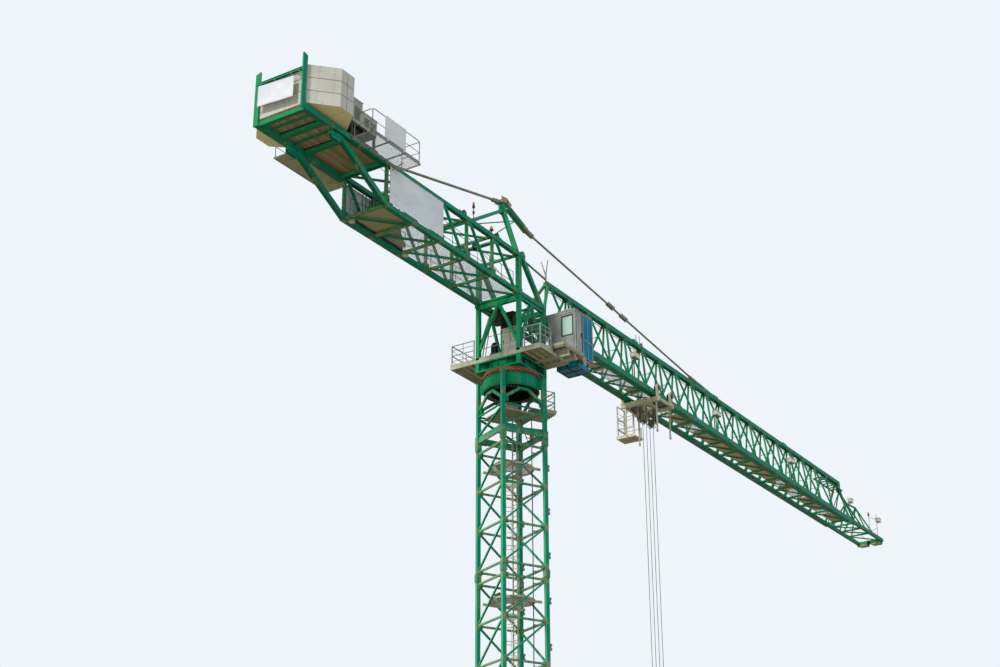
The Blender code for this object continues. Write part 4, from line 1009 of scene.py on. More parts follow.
def cab_details(kit):
    walls = kit.get("cab_frames", "cab_grey")
    dark = kit.get("cab_seals", "rubber")
    low, high = CAB_LOW, CAB_HIGH
    # Ribs pressed into the rear wall
    for step in range(9):
        y = -1.32 - step * 0.078
        put_box(walls, (1.462, y - 0.018, low + 0.1), (1.48, y + 0.018, high - 0.12))
    for z in (low + 0.05, high - 0.06):
        put_box(walls, (1.452, -2.8, z - 0.05), (1.48, -1.25, z + 0.05))
    put_box(walls, (1.44, -2.83, high), (3.02, -1.22, high + 0.045))
    # Seal round the rear window
    y0, y1, z0, z1 = -2.62, -2.05, low + 1.1, high - 0.25
    for ya, yb, za, zb in ((y0 - 0.05, y1 + 0.05, z0 - 0.05, z0), (y0 - 0.05, y1 + 0.05, z1, z1 + 0.05),
                           (y0 - 0.05, y0, z0, z1), (y1, y1 + 0.05, z0, z1)):
        put_box(dark, (1.465, ya, za), (1.498, yb, zb))
    # Near side: grey door with handle and hinges, then the glass with its bars
    put_box(walls, (1.55, -2.818, low + 0.08), (2.06, -2.8, high - 0.12))
    put_box(dark, (1.53, -2.81, low + 0.06), (2.08, -2.8, high - 0.1))
    put_box(dark, (1.98, -2.85, low + 1.0), (2.02, -2.81, low + 1.25))
    for z in (low + 0.4, low + 1.8):
        put_post(walls, 1.54, -2.82, z, z + 0.14, 0.022, 8)
    bars = kit.get("cab_window_bars", "cab_grey")
    for x in (2.1, 2.56, 3.0):
        put_block(bars, x, -2.852, 0.02, 0.01, low - 0.02, high - 0.05)
    for z in (low, low + 0.95, high - 0.07):
        put_box(bars, (2.1, -2.862, z - 0.02), (3.02, -2.842, z + 0.02))
        put_box(bars, (3.032, -2.84, z - 0.02), (3.05, -1.3, z + 0.02))
    for y in (-2.84, -2.06, -1.32):
        put_block(bars, 3.041, y, 0.009, 0.02, low - 0.02, high - 0.05)
    put_bar(dark, (3.055, -2.5, low + 0.3), (3.055, -2.1, low + 1.2), 0.014, 0.03)
    # Roof: air conditioner
    put_box(walls, (1.75, -2.45, high + 0.045), (2.55, -1.7, high + 0.26))
    for step in range(8):
        x = 1.82 + step * 0.09
        put_box(dark, (x, -2.462, high + 0.08), (x + 0.045, -2.45, high + 0.22))
    rails = kit.get("cab_rails", "galvanised")
    deck = 32.73
    for x in (0.0, 0.7, 1.38):
        put_post(rails, x, -1.42, deck, deck + 1.0, 0.016)
    for rise in (0.5, 1.0):
        put_rod(rails, (0.0, -1.42, deck + rise), (1.38, -1.42, deck + rise), 0.016, 6)
    for z in (33.2, 34.3):
        put_rod(rails, (1.46, -1.45, z), (1.38, -1.45, z), 0.014, 6)
    put_post(rails, 1.38, -1.45, 33.2, 34.3, 0.016)
    put_post(rails, 1.42, -2.72, 33.1, 33.9, 0.014)
    cab_underside(kit)
    # Seat and armrests, which show faintly through the glass
    seat = kit.get("cab_seat", "rubber")
    put_box(seat, (1.9, -2.3, 33.25), (2.35, -1.8, 33.4))
    put_box(seat, (1.86, -2.28, 33.35), (1.96, -1.82, 34.05))
    put_post(seat, 2.1, -2.05, 32.84, 33.25, 0.06, 12)
    for y in (-2.42, -1.72):
        put_box(seat, (2.0, y - 0.07, 33.45), (2.5, y + 0.07, 33.6))


def cab_underside(kit):
    # Bracing under the tray, bracket at its front corner and frame of the foot window
    tray = kit.get("cab_tray_frame", "platform_grey")
    under = 32.565
    rear, front, near, far = -0.03, 1.72, -3.03, -1.38
    corners = ((rear, near), (front, near), (front, far), (rear, far))
    crossed = (((0.0, -2.95), (1.65, -1.45)), ((0.0, -1.45), (1.65, -2.95)))
    for start, end in (*zip(corners, corners[1:] + corners[:1]), *crossed):
        put_bar(tray, (*start, under), (*end, under), 0.06, 0.07, side=UP)
    put_bar(tray, (1.7, -2.98, 32.6), (2.15, -2.88, 32.35), 0.1, 0.06, side=UP)
    put_box(tray, (2.05, -2.93, 32.3), (2.2, -2.85, 32.72))
    put_box(tray, (-0.1, -3.09, 32.6), (1.78, -3.06, 32.76))
    put_box(tray, (-0.1, -3.09, 32.6), (-0.06, -1.35, 32.76))
    foot = kit.get("foot_window_frame", "dark")
    low, high = 32.28, 32.57
    for y in (-2.62, -2.03, -1.44):
        put_box(foot, (1.93, y - 0.02, low - 0.02), (3.05, y + 0.02, low + 0.015))
        put_box(foot, (1.92, y - 0.02, low - 0.02), (1.95, y + 0.02, high + 0.02))
    for x in (1.93, 2.5, 3.03):
        put_box(foot, (x - 0.02, -2.62, low - 0.02), (x + 0.02, -1.44, low + 0.01))


# Counter-jib

def counter_details(kit):
    floor, rail_top = 35.5, 36.5
    mesh = kit.get("counter_floor_mesh", "grating")
    for left, right in zip(COUNTER_NODES[1:], COUNTER_NODES[2:]):
        put_grating(mesh, (left + 0.06, -1.0, floor), (right - 0.06, 1.0), 0.042, 0.01, 0.008)
    sheet = kit.get("counter_floor_plates", "platform_tan")
    for step in range(4):
        x = -11.7 + step * 0.49
        put_box(sheet, (x, -1.02, 35.505), (x + 0.48, 1.02, 35.52))
    put_plate(sheet, ((-9.69, -0.3), (-7.9, 0.6), (-7.9, 1.02), (-9.69, 1.02)), 35.515, 35.53)
    green = kit.get("counter_gussets", "truss_green")
    rails = kit.get("counter_rails", "galvanised")
    for way in (-1, 1):
        for face in (-0.075, 0.06):
            y = way * SIDE_Y + face
            for x in COUNTER_NODES[:-1]:
                put_box(green, (x - 0.2, y, floor), (x + 0.22, y + 0.015, 35.78))
            for x in COUNTER_NODES[1:-1] if face < 0 else ():
                put_box(green, (x - 0.1, y, 37.1), (x + 0.34, y + 0.015, 37.35))
        y = way * 0.98
        for z in (floor + 0.45, rail_top):
            put_rod(rails, (-11.7, y, z), (-1.3, y, z), 0.016, 6)
        for step in range(11):
            put_post(rails, -11.6 + step * 1.03, y, floor, rail_top, 0.016)
    # Hoses along the far chord, from box to box
    hoses = kit.get("counter_hoses", "rubber")
    for line in range(3):
        run = []
        for step in range(41):
            y = 1.0 - 0.055 * line + 0.016 * math.sin(step * 0.8 + line * 2.1)
            run.append((-11.5 + step * 0.1, y, 35.478))
        put_tube(hoses, run, 0.022, 6)
    boxes = kit.get("hose_boxes", "cabinet_grey")
    for x in (-11.62, -7.62):
        put_box(boxes, (x, 0.84, 35.32), (x + 0.24, 1.05, 35.498))
        put_box(boxes, (x - 0.012, 0.83, 35.3), (x + 0.252, 1.055, 35.32))
    bars = kit.get("counter_end_bars", "dark")
    for step in range(5):
        put_post(bars, -10.75 + step * 0.24, 0.95, floor, 37.2, 0.02)
    for z in (35.9, 36.55, 37.15):
        put_rod(bars, (-10.85, 0.95, z), (-9.7, 0.95, z), 0.016, 6)
    counter_fittings(kit, green)


def counter_fittings(kit, green):
    # Head beam pulleys, rope anchor and lifting eyes on the top chord
    near, chord_top = -SIDE_Y, 37.56
    dark = kit.get("counter_pulleys", "dark")
    for x in (-3.0, -5.8):
        put_sheave(dark, (x, near, 37.66), 0.17, 0.08)
        for y in (-1.25, -1.105):
            put_box(green, (x - 0.1, y, chord_top), (x + 0.1, y + 0.015, 37.7))
    for x in (-3.05, -2.7, -6.15):
        put_block(dark, x, -1.15, 0.06, 0.05, chord_top, 37.68)
    pins = kit.get("counter_pins", "galvanised")
    for y in (-SIDE_Y, SIDE_Y):
        for x, z in ((-0.83, 37.51), (-1.1, 35.4), (1.0, 35.38), (-11.8, 35.4)):
            put_rod(pins, (x, y - 0.15, z), (x, y + 0.15, z), 0.06, 14)
            for way in (-1, 1):
                put_bolt(pins, (x, y + way * 0.15, z), (0, way, 0), 0.04)
    # Lamp post and orange beacon
    post = kit.get("warning_lamps", "dark")
    red = kit.get("warning_lenses", "red_lens")
    amber = kit.get("beacon_lens", "amber_lens")
    for x, low, high, radius, sides in ((-5.02, chord_top, 38.33, 0.022, 8), (-5.02, 38.0, 38.1, 0.06, 10),
                                        (-5.02, 38.3, 38.42, 0.07, 12), (-3.49, chord_top, 37.78, 0.03, 8),
                                        (-3.49, 37.76, 37.82, 0.1, 14)):
        put_post(post, x, near, low, high, radius, sides)
    put_rod(red, (-5.02, near, 38.42), (-5.02, near, 38.6), 0.065, 14, 0.04)
    put_rod(amber, (-3.49, near, 37.82), (-3.49, near, 37.98), 0.085, 16, 0.06)
    put_rod(post, (-3.42, -1.08, 37.6), (-2.95, -1.1, 37.62), 0.02, 6)


# Counterweight platform and machinery

def platform_details(kit):
    bolts = kit.get("platform_bolts", "galvanised")
    green = kit.get("platform_plates", "plain_green")
    for y in (-1.25, 1.25):
        for x in (-16.2, -14.6):
            for side in (-1, 1):
                for shift in (-0.06, 0.06):
                    for lift in (-0.07, 0.07):
                        put_bolt(bolts, (x + shift, y + side * 0.131, 37.35 + lift), (0, side, 0), 0.022)
    # Knee plates where the raking struts meet the platform
    for y in (-SIDE_Y, SIDE_Y):
        for face in (-0.09, 0.055):
            put_box(green, (-15.75, y + face, 36.86), (-15.1, y + face + 0.035, 37.21))
        for x in (-15.65, -15.4, -15.2):
            put_bolt(bolts, (x, y - 0.09, 37.1), (0, -1, 0), 0.026)
    edge = kit.get("deck_edges", "dark")
    for x in (-16.32, -16.08, -14.72, -14.48):
        put_block(edge, x, 0, 0.025, 1.1, 37.44, 37.478)
    seams = kit.get("deck_seams", "slatting")
    for left, right in ((-17.35, -16.35), (-16.05, -14.75), (-14.45, -12.2)):
        for y in (-0.4, 0.4):
            put_box(seams, (left, y - 0.012, 37.462), (right, y + 0.012, 37.478))
    beams = kit.get("deck_bearers", "plain_green")
    for x, half in ((-16.83, 0.035), (-15.4, 0.05)):
        put_block(beams, x, 0, half, 1.1, 37.4, 37.477)
    # Lifting eyes cast into the counterweight, and rods behind its rear block
    eyes = kit.get("ballast_eyes", "dark")
    sides = [(x, y) for x in (-16.4, -15.8) for y in (-1.6, 1.6)]
    for x, y in ((-17.2, -0.9), (-17.2, 0.9), *sides, (-15.1, 0.9)):
        put_ring(eyes, (x, y, 39.42), (1, 0, 0), 0.07, 0.014, 14, 6, 0.5)
    rods = kit.get("ballast_rods", "galvanised")
    for y in (-1.36, 1.36):
        put_post(rods, -17.66, y, 37.7, 39.3, 0.02)


def winch_details(kit):
    rope = kit.get("winch_rope", "rope")
    drum, axle = -13.65, 38.36
    for turn in range(26):
        put_ring(rope, (drum, -0.15 + turn * 0.041, axle), ACROSS, 0.395, 0.02, 28)
    dark = kit.get("winch_motor", "dark")
    put_rod(dark, (drum, -0.85, axle - 0.05), (drum, -0.3, axle - 0.05), 0.24, 20)
    for spoke in around(20):
        way = Vector((spoke.x, 0, spoke.y))
        fin = Vector((drum, -0.82, axle - 0.05)) + way * 0.25
        put_bar(dark, fin, fin + ACROSS * 0.45, 0.012, 0.04, side=way.cross(ACROSS))
    put_box(dark, (-13.2, 0.2, 37.86), (-12.6, 0.75, 38.5))
    boxes = kit.get("winch_cabinets", "cabinet_grey")
    louvres = kit.get("winch_louvres", "dark")
    shelf = 38.56
    put_box(boxes, (-14.13, -1.035, shelf + 1.15), (-13.42, -0.28, shelf + 1.19))
    put_box(boxes, (-13.53, -1.035, shelf + 0.75), (-12.37, -0.28, shelf + 0.79))
    slots = ((7, 0.2, -14.0, -13.6), (5, 0.15, -13.3, -12.95), (5, 0.15, -12.85, -12.5))
    for count, rise, left, right in slots:
        for step in range(count):
            z = shelf + rise + step * 0.09
            put_box(louvres, (left, -1.032, z), (right, -1.02, z + 0.035))
    for y in (-0.9, -0.45):
        put_block(boxes, -14.11, y, 0.01, 0.14, shelf + 0.1, shelf + 1.05)
    # Hoist rope from the drum over the pulley beam to the jib's foot
    high = (-2.9, 0.2, 37.72)
    put_tube(rope, ((-13.6, 0.35, 38.75), (-10.0, 0.3, 38.35), (-6.3, 0.25, 37.95), high), 0.016)
    put_sheave(dark, (-2.9, 0.2, 37.52), 0.19, 0.07)
    beam = kit.get("rope_pulley_beam", "plain_green")
    put_box(beam, (-3.0, -1.05, 37.4), (-2.8, 1.05, 37.5))
    put_tube(rope, (high, (0.4, 0.15, 36.57), (2.2, 0.12, 35.95)), 0.016)


def catwalk_details(kit):
    for name, way, start, end in (("near", -1, -14.6, -11.1), ("far", 1, -15.1, -11.4)):
        near, far = sorted((way * 1.39, way * 2.5))
        if way < 0:
            grate = kit.get("catwalk_grating_near", "grating")
            low, high = (start + 0.05, near + 0.05, 37.33), (end - 0.05, far - 0.05)
            put_grating(grate, low, high, 0.04, 0.009, 0.008)
        else:
            sheet = kit.get("catwalk_sheets_far", "platform_tan")
            width = (end - start - 0.1) / 4
            for step in range(4):
                x = start + 0.05 + step * width
                put_box(sheet, (x, near + 0.05, 37.31), (x + width - 0.015, far - 0.05, 37.335))
        edge = kit.get(f"catwalk_frame_{name}", "galvanised")
        for y in (near + 0.02, far - 0.02):
            put_box(edge, (start, y - 0.02, 37.29), (end, y + 0.02, 37.37))
        for step in range(4):
            x = start + 0.02 + step * (end - start - 0.04) / 3
            put_box(edge, (x - 0.02, near, 37.29), (x + 0.02, far, 37.35))
        for x in (start + 0.5, end - 0.6):
            put_bar(edge, (x, way * 1.4, 37.1), (x, way * 2.0, 37.3), 0.03, 0.04, side=(1, 0, 0))
        # Each length of rail is a bent tube of its own, open at the gaps between them
        y, y_end = way * 2.46, way * 1.5
        foot, middle, top = 37.35, 37.9, 38.47
        third = (end - start) / 3
        for index in range(3):
            xa = start + 0.06 + index * third
            xb = start + (index + 1) * third - 0.06
            put_tube(edge, bent((xa, y, foot), (xa, y, top), (xb, y, top), (xb, y, foot)), 0.021, 8)
            put_rod(edge, (xa, y, middle), (xb, y, middle), 0.016, 6)
            put_box(edge, (xa, y - 0.008, 37.38), (xb, y + 0.008, 37.47))
        for x in (start + 0.06, end - 0.06):
            ends = bent((x, y, foot), (x, y, top - 0.02), (x, y_end, top - 0.02), (x, y_end, foot))
            put_tube(edge, ends, 0.02, 8)
            put_rod(edge, (x, y, middle), (x, y_end, middle), 0.016, 6)


def bent(*corners, radius=0.14):
    # The points of a path whose inner corners are rounded
    corners = [Vector(c) for c in corners]
    points = [corners[0]]
    for before, corner, after in zip(corners, corners[1:], corners[2:]):
        start = corner + (before - corner).normalized() * radius
        end = corner + (after - corner).normalized() * radius
        for step in range(5):
            share = step / 4
            points.append((1 - share) ** 2 * start + 2 * share * (1 - share) * corner + share ** 2 * end)
    points.append(corners[-1])
    return points


# Apex frame, stays

def apex_details(kit):
    plates = kit.get("apex_plates", "rusty_tan")
    green = kit.get("apex_bars", "plain_green")
    pins = kit.get("apex_pins", "galvanised")
    ax, az = -0.7, 40.75
    for y in (-0.22, 0.22):
        put_bar(plates, (ax - 0.42, y, az + 0.1), (ax + 0.1, y, az + 0.2), 0.03, 0.3)
        put_bar(plates, (ax + 0.05, y, az + 0.2), (ax + 0.42, y, az + 0.02), 0.03, 0.26)
    for x, z, half, radius, sides in ((-0.22, 0.08, 0.26, 0.06, 14), (0.26, 0.12, 0.26, 0.06, 14),
                                      (0, -0.3, 0.3, 0.05, 12)):
        put_rod(pins, (ax + x, -half, az + z), (ax + x, half, az + z), radius, sides)
    tie = kit.get("stay_couplings", "tie")
    link = Vector((1.45, 0, 40.2))
    start = Vector((-0.4, 0, 40.86))
    joint = Vector((19.7, 0, 38.3))
    along = (joint - link).normalized()
    middles = [link.lerp(joint, share) for share in (0.46, 0.54)]
    # Link plates either side of the thick link and of the pendant's couplings, with their pins
    for shift in (ACROSS * -0.12, ACROSS * 0.12):
        put_bar(tie, link.lerp(start, 0.2) + shift, link + shift, 0.02, 0.22)
    couplings = [link + along * 0.1, link + along * 0.55]
    for middle in middles:
        couplings += [middle + along * 0.06, middle + along * 0.44]
        for shift in (ACROSS * -0.075, ACROSS * 0.075):
            put_bar(tie, middle - along * 0.12 + shift, middle + along * 0.62 + shift, 0.02, 0.2)
    for place in couplings:
        put_rod(pins, place - ACROSS * 0.12, place + ACROSS * 0.12, 0.05, 12)
        for way in (-ACROSS, ACROSS):
            put_bolt(pins, place + way * 0.12, way, 0.03)
    back = Vector((-10.93, 0, -2.67)).normalized()
    for place in (Vector((-1.1, 0, 40.76)), Vector((-11.2, 0, 38.33))):
        for shift in (ACROSS * -0.07, ACROSS * 0.07):
            put_bar(tie, place + shift, place + back * 0.6 + shift, 0.02, 0.16)
        for run in (0.08, 0.5):
            middle = place + back * run
            put_rod(pins, middle - ACROSS * 0.09, middle + ACROSS * 0.09, 0.035, 10)
    # Thin bars that steady the link, and the tie to the jib's top chord
    for x in (-4.69, -3.29):
        put_rod(green, (x, -SIDE_Y, 37.6), (0.45, 0, 40.35), 0.03)
    put_rod(tie, (-0.6, -0.9, 37.62), (3.3, 0, 38.2), 0.055, 10)
    put_box(green, (-0.72, -1.0, 37.45), (-0.5, -0.8, 37.75))


# Jib

def jib_details(kit):
    chord_top = 38.06
    green = kit.get("jib_joints", "jib_green")
    pins = kit.get("jib_pins", "galvanised")
    for x in JIB_JOINTS:
        for y in (-JIB_Y, JIB_Y):
            for face in (-0.125, 0.101):
                put_box(green, (x - 0.22, y + face, 34.87), (x + 0.22, y + face + 0.024, 35.13))
            for shift in (-0.12, 0.12):
                put_rod(pins, (x + shift, y - 0.15, 35.0), (x + shift, y + 0.15, 35.0), 0.04, 12)
        for face in (-0.16, 0.131):
            put_box(green, (x - 0.3, face, 37.83), (x + 0.3, face + 0.029, 38.1))
        for shift in (-0.16, 0.16):
            put_rod(pins, (x + shift, -0.2, 37.98), (x + shift, 0.2, 37.98), 0.045, 12)
    thin = kit.get("jib_thin_bars", "plain_green")
    for index in range(18):
        # Gussets on top and bottom chords, thin cross bars between the sides at mid height
        x = JIB_FIRST + JIB_BAY * index
        for y in (-0.132, 0.132):
            put_block(green, x, y, 0.2, 0.008, 37.72, 37.88)
        for y in (-0.85, 0.85):
            put_block(green, x - JIB_BAY / 2, y, 0.18, 0.01, 35.12, 35.27)
        if index < 17:
            put_rod(thin, (x + 0.5, -0.46, 36.55), (x + 0.5, 0.46, 36.55), 0.018, 6)
    jib_ropes(kit, green)
    jib_floor_details(kit)
    lamps = kit.get("jib_lamps", "white")
    panes = kit.get("jib_lamp_panes", "lamp_glass")
    jib_floodlights(kit, lamps, panes)
    jib_end_details(kit)
    post = kit.get("jib_antennas", "galvanised")
    # Forked aerial at the start of the top chord, and two short ones farther out
    put_post(post, 3.34, 0, chord_top, 38.5, 0.05, 10)
    put_rod(post, (3.34, 0, 38.45), (2.98, 0.05, 39.1), 0.032, 8, 0.022)
    put_rod(post, (3.34, 0, 38.45), (3.5, -0.05, 39.4), 0.032, 8, 0.022)
    put_post(post, 12.95, 0, chord_top, 38.62, 0.024, 8)
    put_post(post, 13.34, 0, chord_top, 38.68, 0.024, 8)
    put_box(green, (12.5, -0.1, 38.07), (12.75, 0.1, 38.2))
    put_box(post, (13.45, -0.06, 38.07), (13.6, 0.06, 38.3))
    tip_details(kit, green, pins, lamps, panes, post)


def jib_ropes(kit, green):
    # Hoist rope, the two trolley ropes with their winch and sheaves, and the lighting cable
    axle, rope_y = 35.5, 0.34
    ropes = kit.get("jib_ropes", "rope")
    run = []
    for step in range(31):
        share = step / 30
        sag = 0.6 * share * (1 - share)
        run.append((2.2 + 44.75 * share, 0.12 - 0.08 * share, 35.95 - 0.82 * share - sag))
    put_tube(ropes, run, 0.014)
    sheaves = (*JIB_JOINTS, 40.6)
    for y in (-rope_y, rope_y):
        put_tube(ropes, [(2.4, y, axle)] + [(x, y, 35.32) for x in sheaves], 0.01)
    cables = kit.get("jib_cable", "rubber")
    points = [(3.4, 0.05, 37.84)]
    for step in range(87):
        points.append((3.5 + step * 0.44, 0.16, 37.77 - 0.05 * math.sin(step * 1.3) ** 2))
    put_tube(cables, points + [(41.5, 0.05, 37.84)], 0.02)
    winch = kit.get("trolley_winch", "dark")
    put_rod(winch, (2.6, -0.45, axle), (2.6, 0.45, axle), 0.2, 20)
    put_box(winch, (2.35, -0.5, 35.1), (2.85, 0.5, 35.24))
    for y, foot in ((-0.48, -0.5), (0.44, 0.46)):
        put_rod(winch, (2.6, y, axle), (2.6, y + 0.04, axle), 0.28, 20)
        put_box(winch, (2.5, foot, 35.2), (2.7, foot + 0.04, axle))
    put_sheave(winch, (2.2, 0.12, 35.8), 0.15, 0.06)
    for y in (0.07, 0.16):
        put_box(winch, (2.15, y, 35.07), (2.25, y + 0.012, 35.84))
    for step in range(18):
        put_ring(ropes, (2.6, -0.4 + step * 0.046, axle), ACROSS, 0.21, 0.011, 18)
    for x in sheaves:
        for y in (-rope_y, rope_y):
            put_sheave(winch, (x, y, 35.2), 0.11, 0.05, 16)
            put_block(green, x, y, 0.05, 0.05, 35.05, 35.12)


def jib_floor_details(kit):
    # Floor panels on two edge angles: open mesh near the mast, closed tan sheets farther out
    sheet = kit.get("jib_floor_panels", "panel_tan")
    mesh = kit.get("jib_floor_mesh", "grating")
    level = 35.055
    closed = ((2.8, 3.8), (7.6, 8.6), (12.0, 13.0), (16.8, 18.8),
              (19.8, 30.6), (32.0, 33.4), (34.6, 38.4), (39.4, 41.0))
    for step in range(39):
        left = 1.78 + step * 1.01
        right = min(left + 1.0, 41.15)
        middle = (left + right) / 2
        if any(low < middle < high for low, high in closed):
            put_box(sheet, (left, -0.36, level), (right, 0.36, level + 0.012))
        else:
            put_grating(mesh, (left, -0.36, level), (right, 0.36), 0.036, 0.009, 0.008)
    for y in (-0.37, 0.37):
        put_box(sheet, (1.75, y - 0.012, level - 0.005), (41.2, y + 0.012, level + 0.045))
    track = kit.get("jib_track_flanges", "jib_green")
    low, middle, high = 34.862, 34.885, 34.93
    for way in (-1, 1):
        for edge, bottom, top in ((0.758, low, middle), (0.585, middle, high)):
            inner, outer = sorted((way * 0.57, way * edge))
            put_box(track, (1.6, inner, bottom), (41.3, outer, top))


def jib_floodlights(kit, lamps, panes):
    # Floodlights on poles inside the jib
    poles = kit.get("jib_lamp_poles", "jib_green")
    for x, z in ((11.7, 36.77), (21.75, 36.58), (32.5, 36.76)):
        for shift in (-0.1, 0.12):
            put_post(poles, x + shift, -0.42, 35.1, z, 0.035, 8)
        put_box(lamps, (x - 0.28, -0.68, z - 0.13), (x + 0.34, -0.4, z + 0.13))
        put_box(lamps, (x - 0.31, -0.7, z + 0.11), (x + 0.37, -0.38, z + 0.15))
        for rib in range(5):
            left = x - 0.18 + rib * 0.09
            put_box(lamps, (left, -0.4, z - 0.11), (left + 0.02, -0.35, z + 0.11))
        put_box(panes, (x - 0.24, -0.69, z - 0.1), (x + 0.3, -0.68, z + 0.1))


def jib_end_details(kit):
    chord = 35.12
    ends = kit.get("jib_end_braces", "jib_green")
    put_rod(ends, (41.8, 0.1, 37.77), (42.36, 0.1, 37.77), 0.022, 6)
    high, low = (41.85, 0, 37.3), (42.9, 0, 36.75)
    braces = ((high, 42.4, 0.045), (high, 41.5, 0.035), (low, 42.45, 0.035), (low, 43.6, 0.035))
    for y in (-0.84, 0.84):
        for start, x, radius in braces:
            put_rod(ends, start, (x, y, chord), radius)
    # Rungs between the sides under the end of the top chord
    rack = kit.get("jib_end_rack", "truss_green")
    for step in range(7):
        put_block(rack, 38.4 + step * 0.5, 0, 0.06, 0.3, 37.38, 37.43)
    for y in (-0.3, 0.3):
        put_box(rack, (38.2, y - 0.04, 37.3), (41.75, y + 0.04, 37.38))


def tip_details(kit, green, pins, lamps, panes, post):
    red = kit.get("tip_lens", "red_lens")
    dark = kit.get("tip_fittings", "dark")
    low, near = 35.15, -JIB_Y
    put_post(post, 46.45, near, low, 36.75, 0.02, 8)
    put_rod(post, (46.45, near, 36.35), (44.95, near, 36.2), 0.014, 6)
    put_rod(post, (46.45, near, 35.75), (45.1, near, 35.2), 0.012, 6)
    put_post(post, 44.95, near, low, 36.3, 0.018, 8)
    put_post(dark, 44.95, near, 36.28, 36.4, 0.07, 12)
    put_rod(red, (44.95, near, 36.4), (44.95, near, 36.58), 0.065, 14, 0.04)
    for x, y, z in ((46.77, near, 36.42), (43.95, 0.0, 37.26)):
        put_block(lamps, x, y, 0.22, 0.14, z - 0.13, z + 0.13)
        put_block(lamps, x, y, 0.25, 0.17, z + 0.1, z + 0.14)
        put_box(panes, (x - 0.18, y - 0.155, z - 0.1), (x + 0.18, y - 0.14, z + 0.08))
        put_rod(post, (x - 0.32, y, z - 0.05), (x - 0.2, y, z - 0.05), 0.02, 6)
    put_post(post, 43.63, 0, 36.8, 37.22, 0.02)
    rollers = kit.get("tip_rollers", "rusty_tan")
    for y in (-0.47, 0.55):
        put_rod(rollers, (47.1, y - 0.34, 34.88), (47.1, y + 0.34, 34.88), 0.1, 16)
        for face in (-0.37, 0.34):
            put_box(green, (46.95, y + face, 34.82), (47.3, y + face + 0.03, 35.0))
    put_sheave(dark, (46.95, 0.04, 34.95), 0.17, 0.09)
    put_box(green, (41.82, -0.14, 37.3), (41.86, 0.14, 38.07))
    for z in (37.45, 37.9):
        for y in (-0.08, 0.08):
            put_bolt(pins, (41.86, y, z), (1, 0, 0), 0.025)


# Trolley, ropes, hook

def trolley_details(kit):
    cream = kit.get("trolley_fittings", "cream", "trolley")
    dark = kit.get("trolley_sheaves", "dark", "trolley")
    pins = kit.get("trolley_pins", "galvanised", "trolley")
    half, beam = 0.75, 34.65
    for x in (TROLLEY_X - half, TROLLEY_X + half):
        for way in (-1, 1):
            put_trolley_wheel(cream, dark, pins, x, way)
    for x in (TROLLEY_X - half - 0.1, TROLLEY_X + half + 0.1):
        for rise in (-0.15, 0.1):
            put_block(cream, x, 0, 0.012, 1.25, beam + rise, beam + rise + 0.02)
    sheave = 33.75
    for x in (TROLLEY_X - 0.4, TROLLEY_X + 0.4):
        put_sheave(dark, (x, 0.0, sheave), 0.25, 0.1)
        for y in (-0.17, 0.17):
            put_rod(pins, (x, y, sheave), (x, y * 1.25, sheave), 0.07, 14)
            put_bolt(pins, (x, y * 1.25, sheave), (0, y, 0), 0.035)
        # Bent rope guard round the lower half of each sheave
        angles = [math.radians(200 + 140 * step / 8) for step in range(9)]
        for y in (-0.11, 0.11):
            guard = [(x + 0.29 * math.cos(angle), y, sheave + 0.29 * math.sin(angle)) for angle in angles]
            put_tube(dark, guard, 0.018)
    for x, y in ((TROLLEY_X - 0.35, 0.3), (TROLLEY_X + 0.35, -0.3)):
        put_sheave(dark, (x, y + math.copysign(0.07, y), sheave + 0.1), 0.17, 0.07)
        arm = y + math.copysign(0.12, y)
        put_bar(cream, (x, arm, sheave - 0.05), (x, arm, 34.55), 0.14, 0.02, side=(1, 0, 0))
        for shift in (-0.15, 0.15):
            put_bar(cream, (x + shift, y, sheave), (x, y, sheave - 0.12), 0.05, 0.06)
    for way in (-1, 1):
        for x in (-0.62, -0.1, 0.1, 0.62):
            put_bolt(pins, (TROLLEY_X + x, way * 0.34, 34.6), (0, way, 0), 0.03)
    # Dark plates between the beams: painted shade under the trolley's top
    for near, far in ((-1.05, -0.42), (0.42, 1.05)):
        put_box(dark, (TROLLEY_X - 0.62, near, beam - 0.02), (TROLLEY_X + 0.62, far, beam))
    basket_details(kit)


def put_trolley_wheel(cream, dark, pins, x, way):
    # Wheel with flange, its axle, the hooked bracket that carries it and the outer roller
    axle, roller, outside = 35.28, x + 0.04, way * 1.12
    for bm, place, start, end, z, radius, sides in (
            (dark, x, 0.9, 0.98, axle, 0.12, 24), (dark, x, 0.98, 1.01, axle, 0.14, 24),
            (pins, x, 0.86, 1.16, axle, 0.035, 12), (dark, roller, 1.165, 1.195, 35.24, 0.13, 24),
            (cream, x + 0.17, 1.08, 1.2, 35.3, 0.065, 14)):
        put_rod(bm, (place, way * start, z), (place, way * end, z), radius, sides)
    put_bolt(pins, (roller, way * 1.195, 35.24), (0, way, 0), 0.04)
    hooked = ((-0.1, 34.7), (-0.14, 35.05), (-0.1, 35.4), (0.02, 35.52), (0.14, 35.44), (0.17, 35.3))
    arm = [(x + shift, outside, z) for shift, z in hooked]
    for start, end in zip(arm, arm[1:]):
        put_bar(cream, start, end, 0.05, 0.07)
    # Guide leg's foot and its knee
    put_block(cream, x, way * 0.965, 0.05, 0.045, 32.73, 32.85)
    put_bar(cream, (x, way * 0.9, 34.2), (x, way * 0.62, 34.52), 0.04, 0.05, side=(1, 0, 0))


